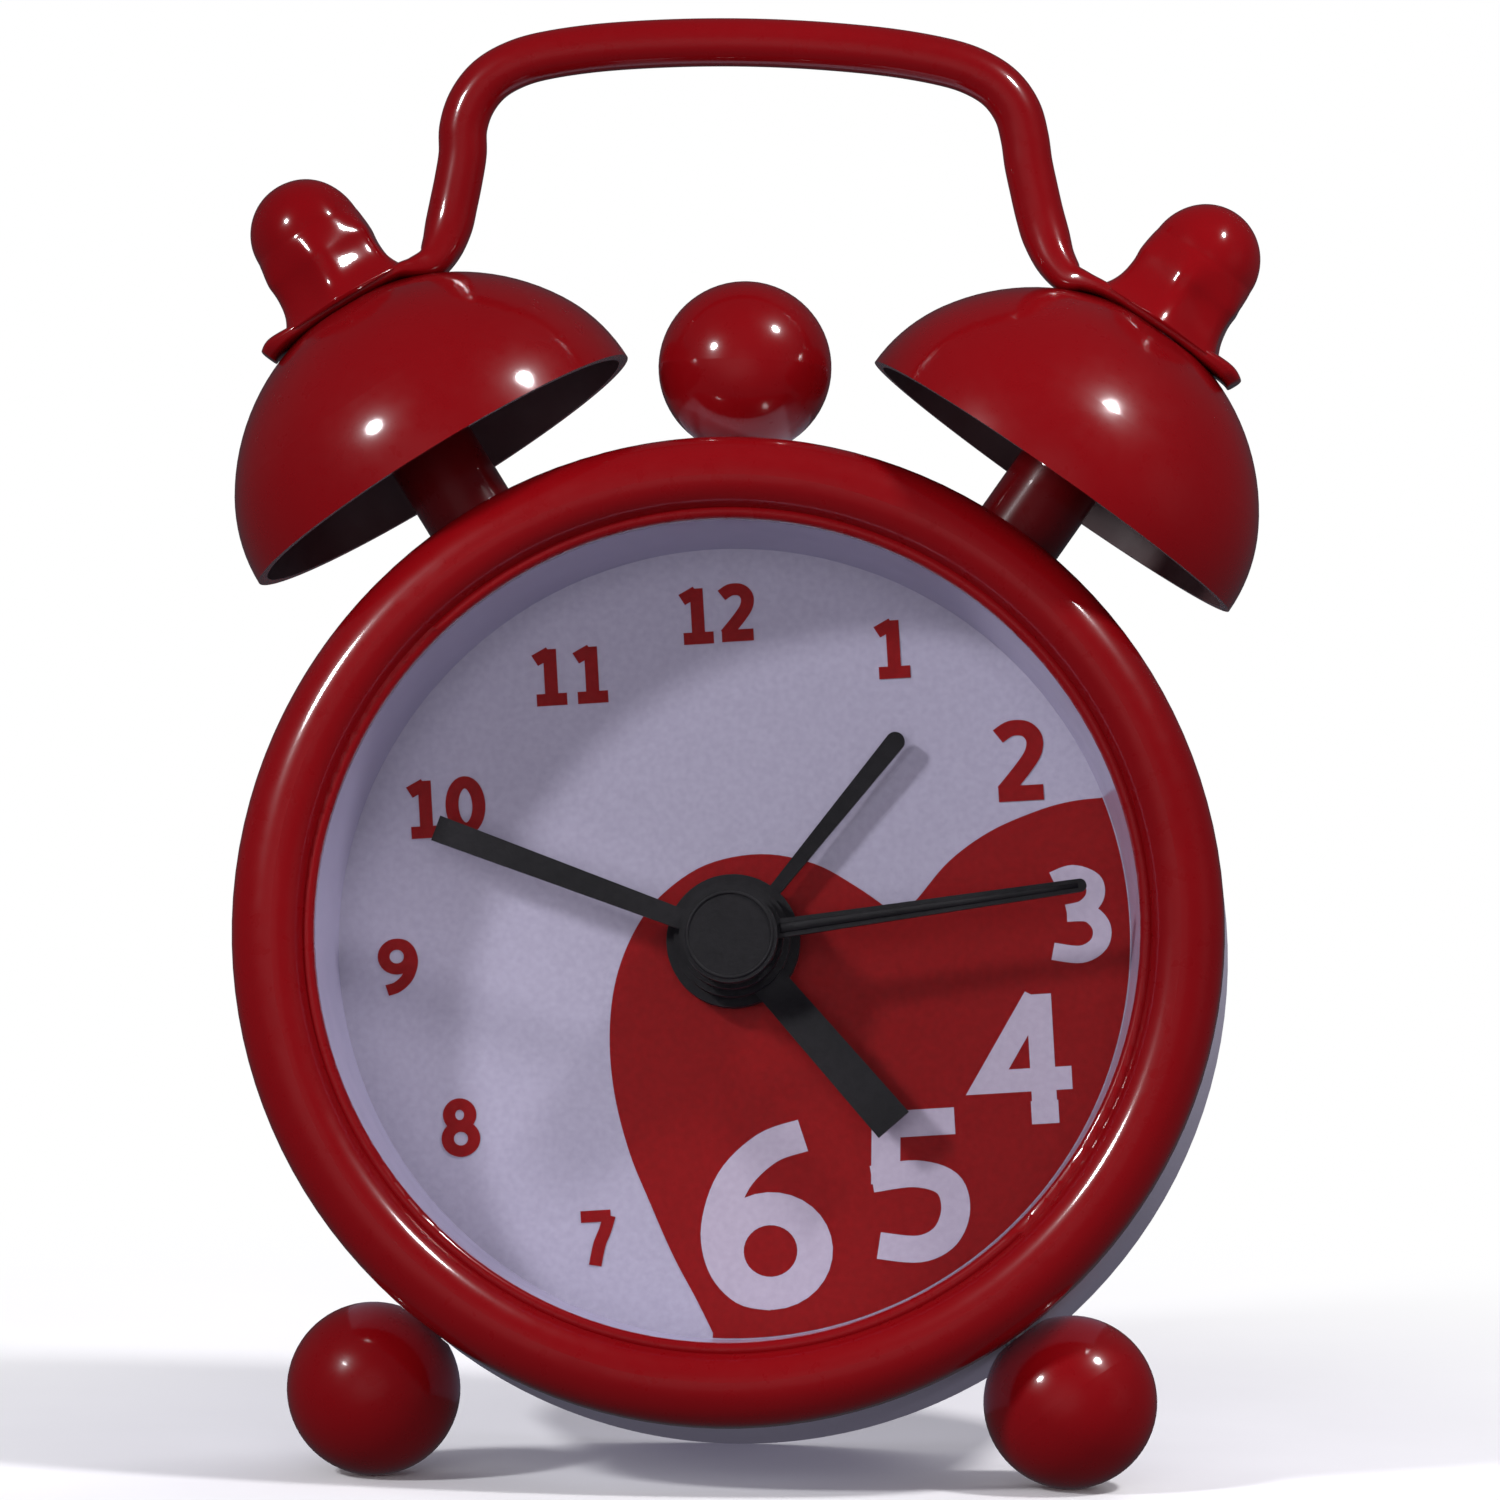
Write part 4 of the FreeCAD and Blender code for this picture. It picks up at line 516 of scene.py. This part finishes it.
def make_nut(node, seed):
    """Acorn nut drowned in lacquer: soft hexagon, round dome, and runs of lacquer at its foot."""
    out, side, depth = bell_axis(node)
    forward = Vector((0, 0, 1))
    top = reach(f"cap_nut_{node}", out)
    foot = reach(f"bell_{node}", out) + TAB * 0.5
    tall = top - foot
    sign = 1 if side.x > 0 else -1
    rings = []
    for row in range(NUT_ROWS + 1):
        height = tall * (1 - (1 - row / NUT_ROWS) ** NUT_CROWDING)
        ring = []
        for column in range(NUT_AROUND):
            a = 2 * math.pi * column / NUT_AROUND
            c, s = math.cos(a), math.sin(a)
            place = out * height * RUN_ALONG + side * c * RUN_AROUND + forward * s * RUN_AROUND
            radius = nut_radius(height / tall, a, place * RUN_PITCH + Vector((seed, 0, 0))) * MM
            point = out * (foot + height) + (side * sign * c + forward * s) * radius
            ring.append(to_row(point.x, point.y, depth + point.z))
        rings.append(ring)
    piece = finish_mesh(f"lacquered_nut_{node}", *loft(rings), RED_THICK, "clock", "red_lacquer")
    smooth = piece.modifiers.new("soften", "SMOOTH")
    smooth.iterations = NUT_SMOOTHING
    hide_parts(f"cap_nut_{node}")


# The wire's stations, in millimetres: a place, half the thickness in the handle's plane and half the depth.
# The tab's places are measured from the nut's axis, outwards and up; the others are in the case frame.
WIRE = 1.4
SWAY = -0.4  # the whole bow leans a little to the left
TAB_LIFT = 0.42
TAB_STATIONS = [
    ((5.5, -0.30), 0.50, 1.5), ((4.8, -0.05), 0.56, 2.2), ((3.0, 0.0), 0.46, 2.75), ((0.0, 0.0), 0.42, 2.8),
    ((-3.2, -0.05), 0.44, 2.7),
]
HEEL_STATIONS = {
    "left": [
        ((-19.2, 38.5), 0.62, 2.4), ((-18.25, 38.95), 0.95, 2.05), ((-17.7, 39.9), 1.20, 1.75),
        ((-17.35, 41.1), 1.38, 1.5), ((-17.1, 42.4), WIRE, WIRE), ((-16.85, 43.8), WIRE, WIRE),
        ((-16.65, 45.3), WIRE, WIRE),
    ],
    "right": [
        ((19.6, 38.35), 0.62, 2.4), ((18.6, 38.7), 0.95, 2.05), ((17.75, 39.75), 1.20, 1.75),
        ((17.2, 41.1), 1.38, 1.5), ((16.8, 42.4), WIRE, WIRE), ((16.45, 43.8), WIRE, WIRE),
        ((16.1, 45.3), WIRE, WIRE),
    ],
}
# half of the bow, from the leg to the grip, as distances from its middle and heights
BOW = [(16.25, 46.8), (15.8, 48.3), (14.85, 49.6), (13.45, 50.5), (11.6, 51.1), (8.4, 51.62), (4.2, 51.95)]
BOW_TOP = 52.06
WIRE_STEPS, WIRE_AROUND = 9, 40
FULLY_FLAT = 1.6  # difference of depth and thickness at which the wire counts as flattened
ROUND_POWER, FLAT_POWER = 2, 1.6
HAMMER_PITCH, HAMMER_DEPTH = 0.55, 0.06


def half_handle(node, sign):
    """Stations of one half of the wire, from the end of its tab to beside the middle of the grip."""
    out, side, _ = bell_axis(node)
    axis = out * (reach(f"bell_{node}", out) / MM + TAB_LIFT)
    stations = []
    for (across, up), thick, wide in TAB_STATIONS:
        place = axis + side * across + out * up
        stations.append(((place.x, place.y), thick, wide))
    return stations + HEEL_STATIONS[node] + [((sign * x + SWAY, y), WIRE, WIRE) for x, y in BOW]


def make_handle():
    """Bent wire that flattens smoothly into the tabs under the nuts and curls up a little beyond them."""
    depth = bell_axis("right")[2] / MM
    line = half_handle("left", -1) + [((SWAY, BOW_TOP), WIRE, WIRE)] + half_handle("right", 1)[::-1]
    samples = smooth_line([(*place, thick, wide) for place, thick, wide in line], WIRE_STEPS)
    rings = []
    for number, (x, y, thick, wide) in enumerate(samples):
        before = samples[max(0, number - 1)]
        after = samples[min(len(samples) - 1, number + 1)]
        along = Vector((after[0] - before[0], after[1] - before[1], 0)).normalized()
        normal = Vector((-along.y, along.x, 0))
        flatness = clamp((wide - thick) / FULLY_FLAT)
        power = ROUND_POWER + FLAT_POWER * flatness
        ring = []
        for column in range(WIRE_AROUND):
            a = 2 * math.pi * column / WIRE_AROUND
            c, s = math.cos(a), math.sin(a)
            scale = (abs(c) ** power + abs(s) ** power) ** (-1 / power)
            across = normal * (c * scale * thick)
            point = Vector((x, y, depth)) + across + Vector((0, 0, s * scale * wide))
            lump = noise.noise(point * HAMMER_PITCH) * HAMMER_DEPTH * flatness
            point += normal * (c * lump)
            ring.append(to_row(point.x * MM, point.y * MM, point.z * MM))
        rings.append(ring)
    piece = finish_mesh("bent_handle", *loft(rings), RED, "clock", "red_lacquer")
    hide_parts("handle")


# ---------------------------------------------------------------- other looks

FACES_INWARD = -0.2  # cosine between a face's normal and the way out from the bell's middle


def paint_bell_insides():
    """Faces that look towards the middle of a bell take the inside material, whose darkness is partly painted
    shade.
    """
    for node in ("left", "right"):
        piece = NODES[f"bell_{node}"]
        out, _, depth = bell_axis(node)
        rim = min(point.dot(out) for point in corners(f"bell_{node}"))
        middle = to_row(*(out * rim + Vector((0, 0, depth))))
        piece.data.materials.append(BELL_INSIDE_SHADED)
        for face in piece.data.polygons:
            away = face.center - middle
            if face.normal.dot(away.normalized()) < FACES_INWARD:
                face.material_index = 1


RIM_RADIUS, RIM_BEAD, RIM_SUNK = 2.45 * MM, 0.11 * MM, 0.02 * MM
RIM_AROUND, BEAD_AROUND = 72, 10


def make_hub_rim():
    """Fine raised rim on the second hand's cap."""
    front = span("second_hand")[1].z - RIM_SUNK
    rings = []
    for column in range(RIM_AROUND):
        a = 2 * math.pi * column / RIM_AROUND
        ring = []
        for k in range(BEAD_AROUND):
            b = 2 * math.pi * k / BEAD_AROUND
            r = RIM_RADIUS + RIM_BEAD * math.cos(b)
            ring.append(to_row(r * math.cos(a), r * math.sin(a), front + RIM_BEAD * math.sin(b)))
        rings.append(ring)
    rings.append(rings[0])
    finish_mesh("second_cap_rim", *loft(rings, closed_ends=False), BLACK, "second_arbor", "black_hands")


# the ridge runs along the blade and tapers towards its tip; all in millimetres
RIDGE_START, RIDGE_END = 2.9, 20.2
RIDGE_WIDTH, RIDGE_WIDTH_LOSS = 0.30, 0.14
RIDGE_HEIGHT, RIDGE_HEIGHT_LOSS = 0.16, 0.08
RIDGE_SUNK = 0.01
RIDGE_UNDERSIDE = -0.2
RIDGE_STEPS, RIDGE_AROUND = 12, 8
BLADE_ONLY = 10 * MM  # further out than this there is only the blade


def make_second_ridge():
    """Ridge along the second hand."""
    points = corners("second_hand")
    tip = max(points, key=lambda p: math.hypot(p.x, p.y))
    along = Vector((tip.x, tip.y, 0)).normalized()
    across = Vector((along.y, -along.x, 0))
    front = max(p.z for p in points if math.hypot(p.x, p.y) > BLADE_ONLY) - RIDGE_SUNK * MM
    rings = []
    for number in range(RIDGE_STEPS):
        t = number / (RIDGE_STEPS - 1)
        middle = along * ((RIDGE_START + (RIDGE_END - RIDGE_START) * t) * MM)
        wide = (RIDGE_WIDTH - RIDGE_WIDTH_LOSS * t) * MM
        tall = (RIDGE_HEIGHT - RIDGE_HEIGHT_LOSS * t) * MM
        ring = []
        for k in range(RIDGE_AROUND):
            b = 2 * math.pi * k / RIDGE_AROUND
            point = middle + across * wide * math.cos(b)
            ring.append(to_row(point.x, point.y, front + tall * max(RIDGE_UNDERSIDE, math.sin(b))))
        rings.append(ring)
    finish_mesh("second_hand_ridge", *loft(rings), BLACK, "second_arbor", "black_hands")


# ---------------------------------------------------------------- studio

BACKGROUND = (1.0, 1.0, 1.0)
AMBIENT = (0.165, 0.158, 0.195)
MIRRORED = (0.042, 0.040, 0.048)
FLOOR_RADII = (0.0005, 0.03, 0.06, 0.1, 0.16, 0.25, 0.4, 0.7, 1.2, 3.0, 8.0)
FLOOR_AROUND = 96
FLOOR_FADE = (0.025, 0.11)  # distances from the clock between which the floor turns into background


def make_floor():
    """Plain pale floor that fades into the pale background."""
    turns = [2 * math.pi * k / FLOOR_AROUND for k in range(FLOOR_AROUND)]
    rings = [[Vector((radius * math.cos(a), radius * math.sin(a), 0.0)) for a in turns]
             for radius in FLOOR_RADII]
    vertices, faces = loft(rings, closed_ends=False)
    faces.append(tuple(range(FLOOR_AROUND)))
    mesh = bpy.data.meshes.new("floor")
    mesh.from_pydata(vertices, [], faces)
    floor = bpy.data.objects.new("floor", mesh)
    bpy.context.scene.collection.objects.link(floor)
    made = Nodes("floor_paper")
    made.colour((0.86, 0.86, 0.87), (0.9, 0.9, 0.91), scale=40.0, detail=3.0)
    made.value("Roughness", 0.9)
    made.value("Specular IOR Level", 0.0)
    emission = made.tree.nodes.new("ShaderNodeEmission")
    emission.inputs["Color"].default_value = (*BACKGROUND, 1.0)
    mix = made.tree.nodes.new("ShaderNodeMixShader")
    length = made.tree.nodes.new("ShaderNodeVectorMath")
    length.operation = "LENGTH"
    made.link(made.coords.outputs["Object"], length.inputs[0])
    fade = made.tree.nodes.new("ShaderNodeMapRange")
    fade.interpolation_type = "SMOOTHSTEP"
    fade.inputs["From Min"].default_value, fade.inputs["From Max"].default_value = FLOOR_FADE
    made.link(length.outputs["Value"], fade.inputs["Value"])
    made.link(fade.outputs["Result"], mix.inputs["Fac"])
    made.link(made.shader.outputs["BSDF"], mix.inputs[1])
    made.link(emission.outputs["Emission"], mix.inputs[2])
    made.link(mix.outputs["Shader"], made.tree.nodes["Material Output"].inputs["Surface"])
    mesh.materials.append(made.material)
    floor.visible_glossy = False
    floor.visible_diffuse = False


def make_world():
    """Pale to the camera and dim in reflections, so that the lacquer stays deep."""
    world = bpy.data.worlds.new("studio")
    world.use_nodes = True
    bpy.context.scene.world = world
    tree = world.node_tree
    path = tree.nodes.new("ShaderNodeLightPath")
    surface = tree.nodes["Background"]
    surface.inputs["Color"].default_value = (*AMBIENT, 1.0)
    for ray, colour in (("Is Glossy Ray", MIRRORED), ("Is Camera Ray", BACKGROUND)):
        seen = tree.nodes.new("ShaderNodeBackground")
        seen.inputs["Color"].default_value = (*colour, 1.0)
        mix = tree.nodes.new("ShaderNodeMixShader")
        tree.links.new(path.outputs[ray], mix.inputs["Fac"])
        tree.links.new(surface.outputs[0], mix.inputs[1])
        tree.links.new(seen.outputs[0], mix.inputs[2])
        surface = mix
    tree.links.new(surface.outputs[0], tree.nodes["World Output"].inputs["Surface"])


# name, direction in the case frame, distance, diameter, watts, colour, and whether reflections show the lamp
LAMPS = [
    ("key_right", (0.56, 0.74, 0.42), 0.55, 0.075, 1.7, (1.0, 0.98, 1.0), True),
    ("key_left", (-0.62, 0.42, 0.72), 0.60, 0.075, 1.9, (0.97, 0.97, 1.0), True),
    ("soft_front", (0.0, 0.0, 1.0), 0.9, 0.6, 3.0, (0.98, 0.97, 1.0), False),
    ("soft_low", (-0.35, -0.12, 1.0), 0.9, 0.4, 1.0, (0.98, 0.97, 1.0), False),
    ("soft_right", (1.0, 0.1, 0.35), 0.8, 0.4, 0.9, (0.97, 0.96, 1.0), False),
    ("soft_back", (0.5, 0.9, -1.0), 0.8, 0.5, 2.6, (1.0, 0.99, 1.0), False),
    ("soft_back_left", (-1.0, 0.5, -0.6), 0.8, 0.4, 1.2, (0.98, 0.98, 1.0), False),
]


def make_lights():
    """Round lamps aimed at the clock."""
    for name, direction, distance, size, watts, colour, mirrored in LAMPS:
        light = bpy.data.lights.new(name, "AREA")
        light.shape = "DISK"
        light.size = size
        light.energy = watts
        light.color = colour
        lamp = bpy.data.objects.new(name, light)
        bpy.context.scene.collection.objects.link(lamp)
        towards = TURN @ Vector(direction).normalized()
        lamp.location = to_row(0, 0, 0) + towards * distance
        lamp.rotation_mode = "QUATERNION"
        lamp.rotation_quaternion = towards.to_track_quat("Z", "Y")
        lamp.visible_glossy = mirrored


# the camera stands 5.0 degrees from the dial's axis in height, 2.7 degrees to one side, and rolls 1.3 degrees
CAMERA_PITCH, CAMERA_YAW, CAMERA_ROLL = -0.0877, -0.0467, -0.0226
CAMERA_DISTANCE, CAMERA_ACROSS, CAMERA_UP = 1.2785, -0.0014, -0.0101656
CAMERA_LENS, SENSOR = 536.0, 36.0


def make_camera():
    """Long lens in front of the dial; the place is measured from the bezel's front."""
    pitch = Matrix.Rotation(CAMERA_PITCH, 3, "X")
    yaw = Matrix.Rotation(CAMERA_YAW, 3, "Y")
    roll = Matrix.Rotation(CAMERA_ROLL, 3, "Z")
    seen = roll @ pitch @ yaw
    data = bpy.data.cameras.new("camera")
    data.lens = CAMERA_LENS
    data.sensor_width = SENSOR
    data.clip_start, data.clip_end = 0.01, 50.0
    camera = bpy.data.objects.new("camera", data)
    bpy.context.scene.collection.objects.link(camera)
    front = Vector((0, 0, span("bezel_ring")[1].z))
    place = seen.transposed() @ -Vector((CAMERA_ACROSS, CAMERA_UP, -CAMERA_DISTANCE)) + front
    matrix = (TURN @ seen.transposed()).to_4x4()
    matrix.translation = to_row(*place)
    camera.matrix_world = matrix
    bpy.context.scene.camera = camera


dress_nodes()
paint_bell_insides()
make_dial_print()
make_nut("left", 3.0)
make_nut("right", 11.0)
make_handle()
make_hub_rim()
make_second_ridge()
make_floor()
make_world()
make_lights()
make_camera()
bpy.context.scene.view_settings.view_transform = "Standard"
